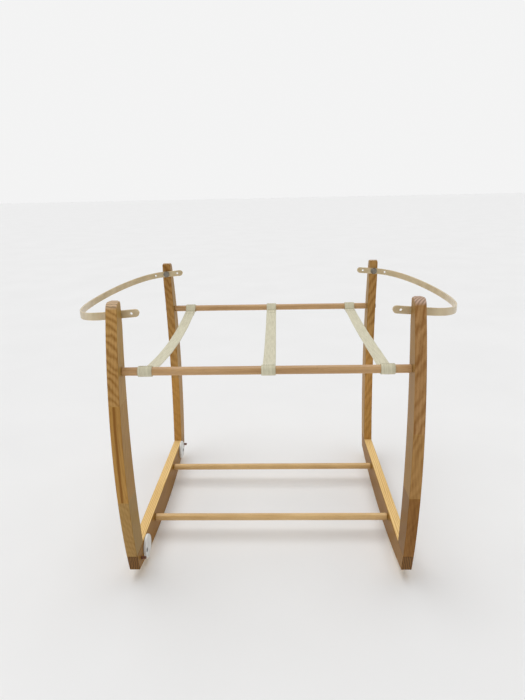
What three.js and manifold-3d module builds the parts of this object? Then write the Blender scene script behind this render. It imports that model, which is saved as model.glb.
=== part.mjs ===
// A rocking stand for a wicker sleeping basket: two curved-leg end frames on rocker rails, four dowels
// between them, three webbing straps that carry the basket, and a swinging hoop at each end.
// Millimetres. +X runs along the basket, +Y across it (the way the stand rocks), +Z up.
// The origin is on the floor, midway between the four legs.
import * as THREE from "three";
import { mergeVertices } from "three/addons/utils/BufferGeometryUtils.js";
import Module from "manifold-3d";

const wasm = await Module();
wasm.setup();

// Driving dimensions
const GAP = 0.3; // clearance between pieces that touch
const INNER_X = 250; // centre plane to the inner face of a rail or leg
const BOARD = 20; // thickness of the leg and rail boards
const MID_X = INNER_X + BOARD / 2;

const RAIL = {
  top: 60, // height of the rail's flat top
  halfLength: 277, // at the top; the cut end slopes in below
  endSlope: 10,
  rockerRadius: 1544,
  facets: 25, // odd, so that the middle facet lies flat on the floor
};
// Side outline of a leg: each long edge is the arc through three [half width, height] points.
// The inner edge ends in a short upright flat, which the hoop is bolted to.
const LEG = {
  outer: [[277.5, 60], [301.5, 265], [266, 510]],
  inner: [[229, 60], [249.5, 290], [233, 500]],
  flatY: 233,
  flatFrom: 500,
  top: 545,
  shoulder: 15, // radius of the outer top corner
  steps: 14,
  bevel: 1.2,
};
const DOWEL = { radius: 7.5, chamfer: 0.8, sides: 20 };
const UPPER = { y: 260.6, z: 424.3 };
const LOWER = { y: 113.9, z: 41.3 };

const STRAP = {
  width: 25,
  thick: 1.8,
  tab: 26,
  seamInboard: 14, // from the dowel's axis to the seam that closes the loop
  seamBelow: 3.7, // height of the dowel's axis above the strap's top face at the seam
  steps: 14,
};
const STRAPS = [
  { name: "strap_left", x: -208, sag: 17.5 },
  { name: "strap_middle", x: 4, sag: 18 },
  { name: "strap_right", x: 206.5, sag: 5.3 },
];

const HOOP = {
  boltX: 260,
  boltZ: 519,
  y: 230.9, // strip centre to the middle plane where it is bolted
  reach: 117, // how far the strip runs past the bolts
  straight: 9, // length past the bolt before the bend begins
  tail: 41, // free length inboard of the bolt
  height: 14,
  thick: 3.5,
  pitch: 27, // between neighbouring holes
  holeRadius: 2.2,
  boltHoleRadius: 3.3,
  slope: Math.tan(THREE.MathUtils.degToRad(4.5)),
  droop: 1.05e-3, // extra drop per square millimetre past the bolt
};

const BOLT = { shank: 3, head: 7.5, headHeight: 3, socket: 2.3, socketDepth: 2 };
const INSERT = { radius: 4.5, bore: 3.3, length: 14 };
const END_BOLT = { shank: 3, head: 6.5, headHeight: 2.6, socket: 2, socketDepth: 1.6, intoDowel: 30 };
const LEG_SCREW = { shank: 2, head: 4, headHeight: 3.2, length: 62, recess: 6, y: 243 };
const PIN = { radius: 4, reach: 16, y: 264 };

const STOPPER = { radius: 23.5, thick: 5, offset: 12, rim: 1.2, bore: 2.6, recess: 5.2, recessDepth: 2.6 };
const STOPPER_AT = { y: 222, z: 35.5 };
const STOPPER_TURN = { front: 5, back: 30 }; // degrees that the disc's centre is raised above the screw
const STOPPER_SCREW = { shank: 2.2, head: 4.7, headHeight: 2, reach: 13 };
const PEG = { y: 251, z: 39, radius: 3, out: 10, depth: 9 };

const COLOURS = {
  leg: 0xb98a57,
  rail: 0xd0a367,
  upper: 0xc39468,
  lower: 0xd8b47e,
  webbing: 0xd6d1b4,
  hoop: 0xd3c8a8,
  disc: 0xeeeeee,
  steel: 0x9c9b97,
  brass: 0xb08d4c,
  peg: 0x5e3a26,
};

const group = new THREE.Group();
group.name = "rocking_basket_stand";

function addPiece(name, geometry, colour, roughness, metalness = 0) {
  const material = new THREE.MeshStandardMaterial({ color: colour, roughness, metalness });
  const mesh = new THREE.Mesh(geometry, material);
  mesh.name = name;
  group.add(mesh);
}

// Booleans --------------------------------------------------------------------------------------------

function solidOf(geometry) {
  const bare = geometry.clone();
  bare.deleteAttribute("normal");
  bare.deleteAttribute("uv");
  const welded = mergeVertices(bare, 1e-4);
  const mesh = new wasm.Mesh({
    numProp: 3,
    vertProperties: new Float32Array(welded.attributes.position.array),
    triVerts: new Uint32Array(welded.index.array),
  });
  return new wasm.Manifold(mesh);
}

function geometryOf(solid) {
  const mesh = solid.getMesh();
  const indexed = new THREE.BufferGeometry();
  indexed.setAttribute("position", new THREE.BufferAttribute(new Float32Array(mesh.vertProperties), 3));
  indexed.setIndex(new THREE.BufferAttribute(new Uint32Array(mesh.triVerts), 1));
  const flat = indexed.toNonIndexed();
  flat.computeVertexNormals();
  return flat;
}

function drill(geometry, tools) {
  let solid = solidOf(geometry);
  for (const tool of tools) solid = solid.subtract(solidOf(tool));
  return geometryOf(solid);
}

// Shapes ----------------------------------------------------------------------------------------------

function turned(profile, sides) {
  const points = profile.map(([radius, height]) => new THREE.Vector2(radius, height));
  return new THREE.LatheGeometry(points, sides);
}

// Turns a solid made about +Y so that its +Y points along the given direction, then moves it.
function placeAlong(geometry, direction, position) {
  const up = new THREE.Vector3(0, 1, 0);
  const turn = new THREE.Quaternion().setFromUnitVectors(up, new THREE.Vector3(...direction).normalize());
  geometry.applyQuaternion(turn);
  geometry.translate(...position);
  return geometry;
}

// A round rod or drill that starts at a point and runs a given length along a direction.
function rod(radius, length, direction, start, sides = 16) {
  return placeAlong(turned([[0, 0], [radius, 0], [radius, length], [0, length]], sides), direction, start);
}

function arcThrough(points, from, to, steps) {
  const [[y1, z1], [y2, z2], [y3, z3]] = points;
  const d = 2 * (y1 * (z2 - z3) + y2 * (z3 - z1) + y3 * (z1 - z2));
  const s1 = y1 * y1 + z1 * z1;
  const s2 = y2 * y2 + z2 * z2;
  const s3 = y3 * y3 + z3 * z3;
  const cy = (s1 * (z2 - z3) + s2 * (z3 - z1) + s3 * (z1 - z2)) / d;
  const cz = (s1 * (y3 - y2) + s2 * (y1 - y3) + s3 * (y2 - y1)) / d;
  const radius = Math.hypot(y1 - cy, z1 - cz);
  const at = (z) => cy + Math.sqrt(radius * radius - (z - cz) ** 2);
  return Array.from({ length: steps + 1 }, (_, i) => {
    const z = from + ((to - from) * i) / steps;
    return [at(z), z];
  });
}

// Extrudes a [y, z] outline along +X, centred on the given x.
function slab(outline, width, centreX, bevel = 0) {
  const inset = outline.map(([y, z]) => new THREE.Vector2(y, z));
  const geometry = new THREE.ExtrudeGeometry(new THREE.Shape(inset), {
    depth: width - 2 * bevel,
    bevelEnabled: bevel > 0,
    bevelThickness: bevel,
    bevelSize: bevel,
    bevelOffset: -bevel,
    bevelSegments: 1,
    curveSegments: 1,
  });
  geometry.translate(0, 0, bevel - width / 2);
  const basis = new THREE.Matrix4().makeBasis(
    new THREE.Vector3(0, 1, 0),
    new THREE.Vector3(0, 0, 1),
    new THREE.Vector3(1, 0, 0),
  );
  geometry.applyMatrix4(basis);
  geometry.translate(centreX, 0, 0);
  return geometry;
}

// Legs and rails --------------------------------------------------------------------------------------

function legOutline() {
  const shoulderZ = LEG.top - LEG.shoulder;
  const outer = arcThrough(LEG.outer, RAIL.top + GAP, shoulderZ, LEG.steps);
  const inner = arcThrough(LEG.inner, LEG.flatFrom, RAIL.top + GAP, LEG.steps);
  const [shoulderY] = outer[outer.length - 1];
  const corner = [];
  for (let i = 1; i <= 5; i += 1) {
    const angle = (i / 5) * (Math.PI / 2);
    const y = shoulderY - LEG.shoulder * (1 - Math.cos(angle)) - 1.5 * Math.sin(angle);
    corner.push([y, shoulderZ + LEG.shoulder * Math.sin(angle)]);
  }
  return [...outer, ...corner, [LEG.flatY, LEG.top], ...inner];
}

function mirroredY(outline) {
  return outline.map(([y, z]) => [-y, z]).reverse();
}

function buildLeg(name, sideX, sideY) {
  const outline = sideY > 0 ? legOutline() : mirroredY(legOutline());
  const body = slab(outline, BOARD, sideX * MID_X, LEG.bevel);
  const outX = sideX * (INNER_X + BOARD + 1);
  const holes = [
    rod(END_BOLT.shank + GAP, BOARD + 2, [-sideX, 0, 0], [outX, sideY * UPPER.y, UPPER.z]),
    rod(INSERT.radius + GAP, INSERT.length + 3, [0, sideY, 0],
      [sideX * HOOP.boltX, sideY * (LEG.flatY - 2), HOOP.boltZ]),
    rod(LEG_SCREW.shank + GAP, screwTop() + GAP - RAIL.top + 2, [0, 0, 1],
      [sideX * MID_X, sideY * LEG_SCREW.y, RAIL.top - 2], 12),
    rod(PIN.radius + GAP, PIN.reach + 2 + GAP, [0, 0, 1],
      [sideX * MID_X, sideY * PIN.y, RAIL.top - 2], 12),
  ];
  addPiece(name, drill(body, holes), COLOURS.leg, 0.55);
}

function screwTop() {
  return rockerHeight(LEG_SCREW.y) + LEG_SCREW.recess + LEG_SCREW.length;
}

function rockerHeight(y) {
  return RAIL.rockerRadius - Math.sqrt(RAIL.rockerRadius ** 2 - y * y);
}

function railOutline() {
  const half = RAIL.halfLength - RAIL.endSlope;
  const flat = rockerHeight(half / RAIL.facets);
  const under = Array.from({ length: RAIL.facets + 1 }, (_, i) => {
    const y = -half + (2 * half * i) / RAIL.facets;
    return [y, rockerHeight(y) - flat];
  });
  return [...under, [RAIL.halfLength, RAIL.top], [-RAIL.halfLength, RAIL.top]];
}

function buildRail(name, sideX, withStoppers) {
  const body = slab(railOutline(), BOARD, sideX * MID_X, LEG.bevel);
  const outX = sideX * (INNER_X + BOARD + 1);
  const holes = [];
  for (const sideY of [-1, 1]) {
    holes.push(rod(END_BOLT.shank + GAP, BOARD + 2, [-sideX, 0, 0], [outX, sideY * LOWER.y, LOWER.z]));
    const x = sideX * MID_X;
    const y = sideY * LEG_SCREW.y;
    holes.push(rod(LEG_SCREW.shank + GAP, RAIL.top, [0, 0, 1], [x, y, 5], 12));
    const bore = rockerHeight(y) + LEG_SCREW.recess + LEG_SCREW.headHeight + GAP;
    holes.push(rod(LEG_SCREW.head + GAP, bore + 3, [0, 0, 1], [x, y, -3], 12));
    holes.push(rod(PIN.radius + GAP, PIN.reach + 2 + GAP, [0, 0, -1],
      [x, sideY * PIN.y, RAIL.top + 2], 12));
    if (withStoppers) {
      const face = sideX * (INNER_X - 1);
      holes.push(rod(STOPPER_SCREW.shank + GAP, STOPPER_SCREW.reach + 1 + GAP, [sideX, 0, 0],
        [face, sideY * STOPPER_AT.y, STOPPER_AT.z], 12));
      holes.push(rod(PEG.radius + GAP, PEG.depth + 1 + GAP, [sideX, 0, 0],
        [face, sideY * PEG.y, PEG.z], 12));
    }
  }
  addPiece(name, drill(body, holes), COLOURS.rail, 0.5);
}

// Dowels and the bolts in their ends ------------------------------------------------------------------

function buildDowel(name, y, z, colour) {
  const half = INNER_X - GAP;
  const { radius, chamfer, sides } = DOWEL;
  const profile = [[0, -half], [radius - chamfer, -half], [radius, -half + chamfer],
    [radius, half - chamfer], [radius - chamfer, half], [0, half]];
  const body = placeAlong(turned(profile, sides), [1, 0, 0], [0, y, z]);
  const depth = END_BOLT.intoDowel + GAP + 1;
  const bores = [-1, 1].map((side) =>
    rod(END_BOLT.shank + GAP, depth, [-side, 0, 0], [side * (INNER_X + 1 - GAP), y, z]));
  addPiece(name, drill(body, bores), colour, 0.5);
}

// A flat round head with a hexagonal socket on a plain shank; the shank runs along +Y from the head.
function socketBolt({ shank, head, headHeight, socket, socketDepth }, length) {
  const profile = [[0, -headHeight], [head - 0.8, -headHeight], [head, -headHeight + 0.8], [head, 0],
    [shank, 0], [shank, length - 0.6], [shank - 0.6, length], [0, length]];
  const hex = rod(socket, socketDepth + 1, [0, 1, 0], [0, -headHeight - 1, 0], 6);
  return drill(turned(profile, 16), [hex]);
}

function buildEndBolt(name, sideX, y, z) {
  const length = BOARD + GAP + END_BOLT.intoDowel;
  const bolt = placeAlong(socketBolt(END_BOLT, length), [-sideX, 0, 0],
    [sideX * (INNER_X + BOARD + GAP), y, z]);
  addPiece(name, bolt, COLOURS.steel, 0.35, 1);
}

// Screws and pins between each leg and its rail -------------------------------------------------------

function buildLegScrew(name, sideX, sideY) {
  const { shank, head, headHeight, length, recess, y } = LEG_SCREW;
  const profile = [[0, 0], [head, 0], [head, 0.8], [shank, headHeight], [shank, length - 3], [0, length]];
  const start = [sideX * MID_X, sideY * y, rockerHeight(y) + recess];
  addPiece(name, placeAlong(turned(profile, 12), [0, 0, 1], start), COLOURS.steel, 0.4, 1);
}

function buildPin(name, sideX, sideY) {
  const { radius, reach, y } = PIN;
  const profile = [[0, -reach], [radius - 0.8, -reach], [radius, -reach + 0.8], [radius, reach - 0.8],
    [radius - 0.8, reach], [0, reach]];
  const start = [sideX * MID_X, sideY * y, RAIL.top];
  addPiece(name, placeAlong(turned(profile, 12), [0, 0, 1], start), COLOURS.lower, 0.6);
}

// Straps ----------------------------------------------------------------------------------------------

// Angle at which a line from a point beside a circle touches it, above or below.
function touchAngle(point, radius, above) {
  const [y, z] = point;
  const toPoint = Math.atan2(z, y);
  const half = Math.acos(radius / Math.hypot(y, z));
  return above ? toPoint - half : toPoint + half;
}

// One half of a strap's side outline: up from the seam, round the dowel, back under and sewn to the strap.
function strapHalf(sag) {
  const { thick, tab, seamInboard, seamBelow, steps } = STRAP;
  const outer = DOWEL.radius + GAP + thick;
  const seamY = UPPER.y - seamInboard;
  const seamZ = UPPER.z - seamBelow;
  const topAt = (y) => seamZ - sag * (1 - (y / seamY) ** 2);
  const top = Array.from({ length: steps + 1 }, (_, i) => [(seamY * i) / steps, topAt((seamY * i) / steps)]);
  const full = 2 * Math.PI;
  const start = touchAngle([-seamInboard, -seamBelow], outer, true) + full;
  const end = touchAngle([-seamInboard, -seamBelow - 2 * thick], outer, false);
  const turns = 16;
  const wrap = Array.from({ length: turns + 1 }, (_, i) => {
    const angle = start + ((end - start) * i) / turns;
    return [UPPER.y + outer * Math.cos(angle), UPPER.z + outer * Math.sin(angle)];
  });
  const tabY = seamY - tab;
  const under = [[seamY, seamZ - 2 * thick], [tabY, topAt(tabY) - 2 * thick], [tabY, topAt(tabY) - thick]];
  const bottom = Array.from({ length: steps - 1 }, (_, i) => {
    const y = tabY * (1 - (i + 1) / (steps - 1));
    return [y, topAt(y) - thick];
  });
  return [...top, ...wrap, ...under, ...bottom];
}

function buildStrap({ name, x, sag }) {
  const half = strapHalf(sag);
  const other = mirroredY(half).slice(1, -1);
  const body = slab([...half, ...other], STRAP.width, x);
  const eyes = [-1, 1].map((side) =>
    rod(DOWEL.radius + GAP, STRAP.width + 2, [1, 0, 0],
      [x - STRAP.width / 2 - 1, side * UPPER.y, UPPER.z], DOWEL.sides));
  addPiece(name, drill(body, eyes), COLOURS.webbing, 0.95);
}

// Hoops -----------------------------------------------------------------------------------------------

function hoopDrop(past) {
  return past > 0 ? HOOP.slope * past + HOOP.droop * past * past : HOOP.slope * past;
}

// How far the bent strip has turned in towards the middle, at a distance past the bolt.
function hoopBend(past) {
  const part = Math.max(0, past - HOOP.straight) / (HOOP.reach - HOOP.straight);
  return HOOP.y * (1 - Math.sqrt(1 - part * part));
}

// Centre line of the strip: a straight tail, half an ellipse round the end, and the other tail.
function hoopStations() {
  const stations = [];
  const half = HOOP.height / 2;
  const tailSteps = [0, 0.05, 0.15, 0.35, 0.65, 1];
  for (const step of tailSteps) {
    const run = step * half;
    stations.push({ past: -HOOP.tail + run, y: -HOOP.y, half: Math.max(0.6, half * Math.sqrt(1 - (1 - step) ** 2)) });
  }
  stations.push({ past: -16, y: -HOOP.y, half });
  const bends = 36;
  for (let i = 0; i <= bends; i += 1) {
    const angle = (Math.PI * i) / bends - Math.PI / 2;
    const past = HOOP.straight + (HOOP.reach - HOOP.straight) * Math.cos(angle);
    stations.push({ past, y: HOOP.y * Math.sin(angle), half });
  }
  const start = stations.slice(0, tailSteps.length + 1).reverse();
  for (const { past, half: height } of start) stations.push({ past, y: HOOP.y, half: height });
  return stations;
}

function hoopGeometry(side) {
  const stations = hoopStations();
  const corner = 0.7;
  const t = HOOP.thick / 2;
  const positions = [];
  for (let i = 0; i < stations.length; i += 1) {
    const before = stations[Math.max(0, i - 1)];
    const after = stations[Math.min(stations.length - 1, i + 1)];
    const along = new THREE.Vector2(after.past - before.past, after.y - before.y).normalize();
    const { past, y, half } = stations[i];
    const c = Math.min(corner, half / 2);
    const ring = [[t, -half + c], [t, half - c], [t - c, half], [-t + c, half], [-t, half - c],
      [-t, -half + c], [-t + c, -half], [t - c, -half]];
    for (const [off, up] of ring) {
      const x = HOOP.boltX + past + along.y * off;
      positions.push(side * x, y - along.x * off, HOOP.boltZ - hoopDrop(past) + up);
    }
  }
  return stitched(positions, 8, side > 0);
}

// Joins rings of equal size into a closed skin with a fan over each end.
function stitched(positions, ringSize, flip) {
  const rings = positions.length / 3 / ringSize;
  const index = [];
  const face = (a, b, c) => (flip ? index.push(a, c, b) : index.push(a, b, c));
  for (let r = 0; r + 1 < rings; r += 1) {
    for (let k = 0; k < ringSize; k += 1) {
      const a = r * ringSize + k;
      const b = r * ringSize + ((k + 1) % ringSize);
      face(a, b, b + ringSize);
      face(a, b + ringSize, a + ringSize);
    }
  }
  const last = (rings - 1) * ringSize;
  for (let k = 1; k + 1 < ringSize; k += 1) {
    face(0, k + 1, k);
    face(last, last + k, last + k + 1);
  }
  const geometry = new THREE.BufferGeometry();
  geometry.setAttribute("position", new THREE.Float32BufferAttribute(positions, 3));
  geometry.setIndex(index);
  geometry.computeVertexNormals();
  return geometry;
}

function buildHoop(name, side) {
  const holes = [];
  for (const sideY of [-1, 1]) {
    // The front end has no spare hole past its bolt.
    for (const step of sideY < 0 ? [-1, 0] : [-1, 0, 1]) {
      const past = step * HOOP.pitch;
      const radius = step === 0 ? HOOP.boltHoleRadius : HOOP.holeRadius;
      const start = [side * (HOOP.boltX + past), sideY * (HOOP.y - hoopBend(past) - 8),
        HOOP.boltZ - hoopDrop(past)];
      holes.push(rod(radius, 16, [0, sideY, 0], start, 14));
    }
  }
  addPiece(name, drill(hoopGeometry(side), holes), COLOURS.hoop, 0.5);
}

function buildHoopBolt(name, sideX, sideY) {
  const faceY = HOOP.y - HOOP.thick / 2 - GAP;
  const start = [sideX * HOOP.boltX, sideY * faceY, HOOP.boltZ];
  addPiece(name, placeAlong(socketBolt(BOLT, HOOP.thick + INSERT.length), [0, sideY, 0], start), COLOURS.steel, 0.3, 1);
}

function buildInsert(name, sideX, sideY) {
  const { radius, bore, length } = INSERT;
  const profile = [[bore, 0], [radius, 0], [radius, length], [bore, length], [bore, 0]];
  const start = [sideX * HOOP.boltX, sideY * (LEG.flatY + GAP), HOOP.boltZ];
  addPiece(name, placeAlong(turned(profile, 16), [0, sideY, 0], start), COLOURS.brass, 0.4, 1);
}

// Stoppers --------------------------------------------------------------------------------------------

// An off-centre disc that turns down to the floor and stops the rocking.
function buildStopper(name, sideY, turn) {
  const { radius, thick, offset, rim, bore, recess, recessDepth } = STOPPER;
  const angle = THREE.MathUtils.degToRad(turn);
  const y = sideY * (STOPPER_AT.y - offset * Math.cos(angle));
  const z = STOPPER_AT.z + offset * Math.sin(angle);
  const profile = [[0, 0], [radius - 0.4, 0], [radius, 0.4], [radius, thick - rim],
    [radius - rim * 0.3, thick - rim * 0.3], [radius - rim, thick], [0, thick]];
  const face = -INNER_X + GAP;
  const disc = placeAlong(turned(profile, 32), [1, 0, 0], [face, y, z]);
  const holes = [
    rod(bore, thick + 2, [1, 0, 0], [face - 1, sideY * STOPPER_AT.y, STOPPER_AT.z]),
    rod(recess, recessDepth + 1, [1, 0, 0], [face + thick - recessDepth, sideY * STOPPER_AT.y, STOPPER_AT.z]),
  ];
  addPiece(name, drill(disc, holes), COLOURS.disc, 0.35);
}

function buildStopperScrew(name, sideY) {
  const { shank, head, headHeight, reach } = STOPPER_SCREW;
  const seat = -INNER_X + GAP + STOPPER.thick - STOPPER.recessDepth + GAP;
  const length = seat + INNER_X + reach;
  const profile = [[0, -headHeight], [head * 0.6, -headHeight], [head, -headHeight * 0.4], [head, 0],
    [shank, 0], [shank, length - 2], [0, length]];
  const start = [seat, sideY * STOPPER_AT.y, STOPPER_AT.z];
  addPiece(name, placeAlong(turned(profile, 14), [-1, 0, 0], start), COLOURS.steel, 0.4, 1);
}

function buildPeg(name, sideY) {
  const { radius, out, depth } = PEG;
  const length = out + depth;
  const profile = [[0, 0], [radius - 0.6, 0], [radius, 0.6], [radius, length], [0, length]];
  const start = [-INNER_X + out, sideY * PEG.y, PEG.z];
  addPiece(name, placeAlong(turned(profile, 12), [-1, 0, 0], start), COLOURS.peg, 0.7);
}

// Assembly --------------------------------------------------------------------------------------------

const SIDES = [{ word: "left", x: -1 }, { word: "right", x: 1 }];
const ENDS = [{ word: "front", y: -1 }, { word: "back", y: 1 }];

for (const side of SIDES) {
  buildRail(`rocker_rail_${side.word}`, side.x, side.word === "left");
  buildHoop(`hoop_${side.word}`, side.x);
  for (const end of ENDS) {
    const corner = `${end.word}_${side.word}`;
    buildLeg(`leg_${corner}`, side.x, end.y);
    buildLegScrew(`leg_screw_${corner}`, side.x, end.y);
    buildPin(`leg_pin_${corner}`, side.x, end.y);
    buildHoopBolt(`hoop_bolt_${corner}`, side.x, end.y);
    buildInsert(`hoop_insert_${corner}`, side.x, end.y);
    buildEndBolt(`upper_bolt_${corner}`, side.x, end.y * UPPER.y, UPPER.z);
    buildEndBolt(`lower_bolt_${corner}`, side.x, end.y * LOWER.y, LOWER.z);
  }
}
for (const end of ENDS) {
  buildDowel(`upper_dowel_${end.word}`, end.y * UPPER.y, UPPER.z, COLOURS.upper);
  buildDowel(`lower_dowel_${end.word}`, end.y * LOWER.y, LOWER.z, COLOURS.lower);
  buildStopper(`stopper_${end.word}`, end.y, STOPPER_TURN[end.word]);
  buildStopperScrew(`stopper_screw_${end.word}`, end.y);
  buildPeg(`stop_peg_${end.word}`, end.y);
}
for (const strap of STRAPS) buildStrap(strap);

export default group;
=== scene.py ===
"""The looks of a rocking stand for a sleeping basket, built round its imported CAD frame.

Everything is in metres in the CAD frame: +X along the basket, +Y away from the front legs, +Z up.
"""

import logging
import math
from dataclasses import dataclass, field
from enum import Enum
from typing import Sequence

import bmesh
import bpy
from mathutils import Matrix, Vector


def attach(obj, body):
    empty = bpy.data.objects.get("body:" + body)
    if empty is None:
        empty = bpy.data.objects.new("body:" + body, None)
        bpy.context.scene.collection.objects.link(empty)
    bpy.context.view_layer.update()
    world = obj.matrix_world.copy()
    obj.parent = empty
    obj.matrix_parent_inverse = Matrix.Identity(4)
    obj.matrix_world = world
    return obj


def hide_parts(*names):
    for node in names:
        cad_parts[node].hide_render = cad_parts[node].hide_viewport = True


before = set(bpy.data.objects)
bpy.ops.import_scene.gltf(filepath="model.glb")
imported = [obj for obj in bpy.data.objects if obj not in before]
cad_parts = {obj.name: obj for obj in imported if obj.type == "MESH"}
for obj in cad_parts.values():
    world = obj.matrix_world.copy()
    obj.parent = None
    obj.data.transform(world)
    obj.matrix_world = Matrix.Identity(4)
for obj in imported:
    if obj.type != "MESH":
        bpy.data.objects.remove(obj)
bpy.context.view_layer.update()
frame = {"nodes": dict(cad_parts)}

LOG = logging.getLogger("basket_stand")
MM = 0.001
SEED = 11
STAND = "stand"
ACROSS = Vector((1, 0, 0))
# The radius, in metres, that closes a turned piece at its axis.
CORE = 0.0002
# The Wave Texture's scale that gives one stripe to each unit of its vector.
WAVE_SCALE = 1 / 3.1831

Colour = tuple[float, float, float]
Ring = list[Vector]
Point2 = tuple[float, float]


class Side(Enum):
    """The two end frames of the stand."""

    LEFT = -1
    RIGHT = 1

    @property
    def word(self) -> str:
        """The side's name as it stands in node names."""
        return self.name.lower()


class End(Enum):
    """The two long sides of the stand, by the legs that stand there."""

    FRONT = -1
    BACK = 1

    @property
    def word(self) -> str:
        """The end's name as it stands in node names."""
        return self.name.lower()


class Slot(Enum):
    """The record's material slots."""

    LEG = "leg_pine"
    RAIL = "rail_pine"
    DOWEL_WARM = "dowel_warm"
    DOWEL_PALE = "dowel_pale"
    WEBBING = "webbing"
    HOOP = "hoop_plastic"
    STOPPER = "stopper_plastic"
    STEEL = "steel"
    PEG = "peg_wood"


def linear(value: int) -> float:
    """Turns one 8-bit display value into the linear value that shaders take.

    Args:
        value: the display value, 0 to 255.

    Returns:
        The linear value, 0 to 1.
    """
    part = value / 255
    return part / 12.92 if part <= 0.04045 else ((part + 0.055) / 1.055) ** 2.4


def srgb(red: int, green: int, blue: int) -> Colour:
    """Turns 8-bit display values into the linear colour that shaders take.

    Args:
        red: red, 0 to 255.
        green: green, 0 to 255.
        blue: blue, 0 to 255.

    Returns:
        The linear red, green and blue.
    """
    return linear(red), linear(green), linear(blue)


def scaled(colour: Colour, factor: float) -> Colour:
    """A colour with each channel multiplied by the same factor."""
    return colour[0] * factor, colour[1] * factor, colour[2] * factor


# ---------------------------------------------------------------------------------------------------
# Finishes


class ShaderTree:
    """A material with a Principled shader, and short ways to add the nodes that feed it."""

    def __init__(self, name: str, roughness: float, metallic: float = 0.0) -> None:
        """Makes the material and its shader.

        Args:
            name: the material's name.
            roughness: the shader's roughness where nothing feeds it.
            metallic: the shader's metallic value.
        """
        self.material = bpy.data.materials.new(name)
        self.material.use_nodes = True
        self.tree = self.material.node_tree
        self.shader = self.tree.nodes["Principled BSDF"]
        self.shader.inputs["Roughness"].default_value = roughness
        self.shader.inputs["Metallic"].default_value = metallic
        self.coordinates = self.tree.nodes.new("ShaderNodeTexCoord")

    def node(self, kind: str, inputs: dict[str | int, object] | None = None, **settings: object) -> bpy.types.Node:
        """Adds a node.

        Args:
            kind: the node's type name.
            inputs: values or output sockets, by the input's name or number.
            settings: the node's own properties.

        Returns:
            The new node.
        """
        made = self.tree.nodes.new(kind)
        for key, value in settings.items():
            setattr(made, key, value)
        for key, value in (inputs or {}).items():
            socket = made.inputs[key]
            if isinstance(value, bpy.types.NodeSocket):
                self.tree.links.new(value, socket)
            else:
                socket.default_value = value
        return made

    def math(self, operation: str, first: object, second: object = 0.0, clamp: bool = False) -> bpy.types.NodeSocket:
        """The result of one Math node on two values or sockets."""
        return self.node("ShaderNodeMath", {0: first, 1: second}, operation=operation, use_clamp=clamp).outputs[0]

    def times(self, first: object, second: object) -> bpy.types.NodeSocket:
        """The product of two values or sockets."""
        return self.math("MULTIPLY", first, second)

    def plus(self, first: object, second: object, clamp: bool = False) -> bpy.types.NodeSocket:
        """The sum of two values or sockets, kept from 0 to 1 if asked."""
        return self.math("ADD", first, second, clamp)

    def ranged(self, value: object, low: float = 0.0, high: float = 1.0, to_low: float = 0.0,
               to_high: float = 1.0) -> bpy.types.NodeSocket:
        """Maps a value from one range to another and keeps it inside.

        Args:
            value: the value's socket.
            low: where the old range starts.
            high: where the old range ends.
            to_low: what the start becomes.
            to_high: what the end becomes.

        Returns:
            The mapped value.
        """
        return self.node("ShaderNodeMapRange", {"Value": value, "From Min": low, "From Max": high, "To Min": to_low,
                                                "To Max": to_high}).outputs[0]

    def pushed(self, vector: bpy.types.NodeSocket, x: object, y: object = 0.0) -> bpy.types.NodeSocket:
        """A vector moved by an amount along its X, and its Y if given."""
        amount = self.node("ShaderNodeCombineXYZ", {0: x, 1: y})
        return self.node("ShaderNodeVectorMath", {0: vector, 1: amount.outputs[0]}, operation="ADD").outputs[0]

    def grain(self, scale: Sequence[float], detail: float = 3.0, move: Sequence[float] = (0, 0, 0),
              source: str = "Object") -> bpy.types.NodeSocket:
        """The grey value of a noise texture that is stretched along the axes.

        Args:
            scale: repeats per metre along each axis.
            detail: how many finer layers it has.
            move: shift after scaling.
            source: the Texture Coordinate output to read.

        Returns:
            The value, about 0 to 1.
        """
        vector = self.mapped(scale, move=move, source=source)
        return self.node("ShaderNodeTexNoise", {"Vector": vector, "Scale": 1.0, "Detail": detail}).outputs[0]

    def specks(self, value: bpy.types.NodeSocket, above: float, strength: float) -> bpy.types.NodeSocket:
        """A share that is one strength wherever a value is above a limit, and 0 elsewhere."""
        return self.times(self.math("GREATER_THAN", value, above), strength)

    def gloss(self, coat: float, coat_roughness: float) -> None:
        """Sets the clear gloss that lies over the surface."""
        self.shader.inputs["Coat Weight"].default_value = coat
        self.shader.inputs["Coat Roughness"].default_value = coat_roughness

    def mapped(self, scale: Sequence[float], turn: Sequence[float] = (0, 0, 0), move: Sequence[float] = (0, 0, 0),
               source: str = "Object") -> bpy.types.NodeSocket:
        """Texture coordinates, turned, scaled and moved.

        Args:
            scale: repeats per metre along each axis.
            turn: angles about each axis, in radians.
            move: shift after scaling.
            source: the Texture Coordinate output to read.

        Returns:
            The mapped vector.
        """
        turned = self.node("ShaderNodeMapping", {"Vector": self.coordinates.outputs[source], "Rotation": turn})
        placed = self.node("ShaderNodeMapping", {"Vector": turned.outputs[0], "Scale": scale, "Location": move})
        return placed.outputs[0]

    def bands(self, vector: bpy.types.NodeSocket, rings: bool = False, distortion: float = 0.0) -> bpy.types.NodeSocket:
        """Soft stripes across a vector's X, or rings about its Z, one for each unit.

        Args:
            vector: the mapped coordinates.
            rings: rings rather than stripes.
            distortion: how much they waver.

        Returns:
            The value, 0 to 1.
        """
        inputs = {"Vector": vector, "Scale": WAVE_SCALE, "Distortion": distortion, "Detail": 2.0, "Detail Scale": 0.6}
        wave = self.node("ShaderNodeTexWave", inputs, wave_type="RINGS" if rings else "BANDS")
        if rings:
            wave.rings_direction = "Z"
        return wave.outputs["Fac"]

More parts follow.
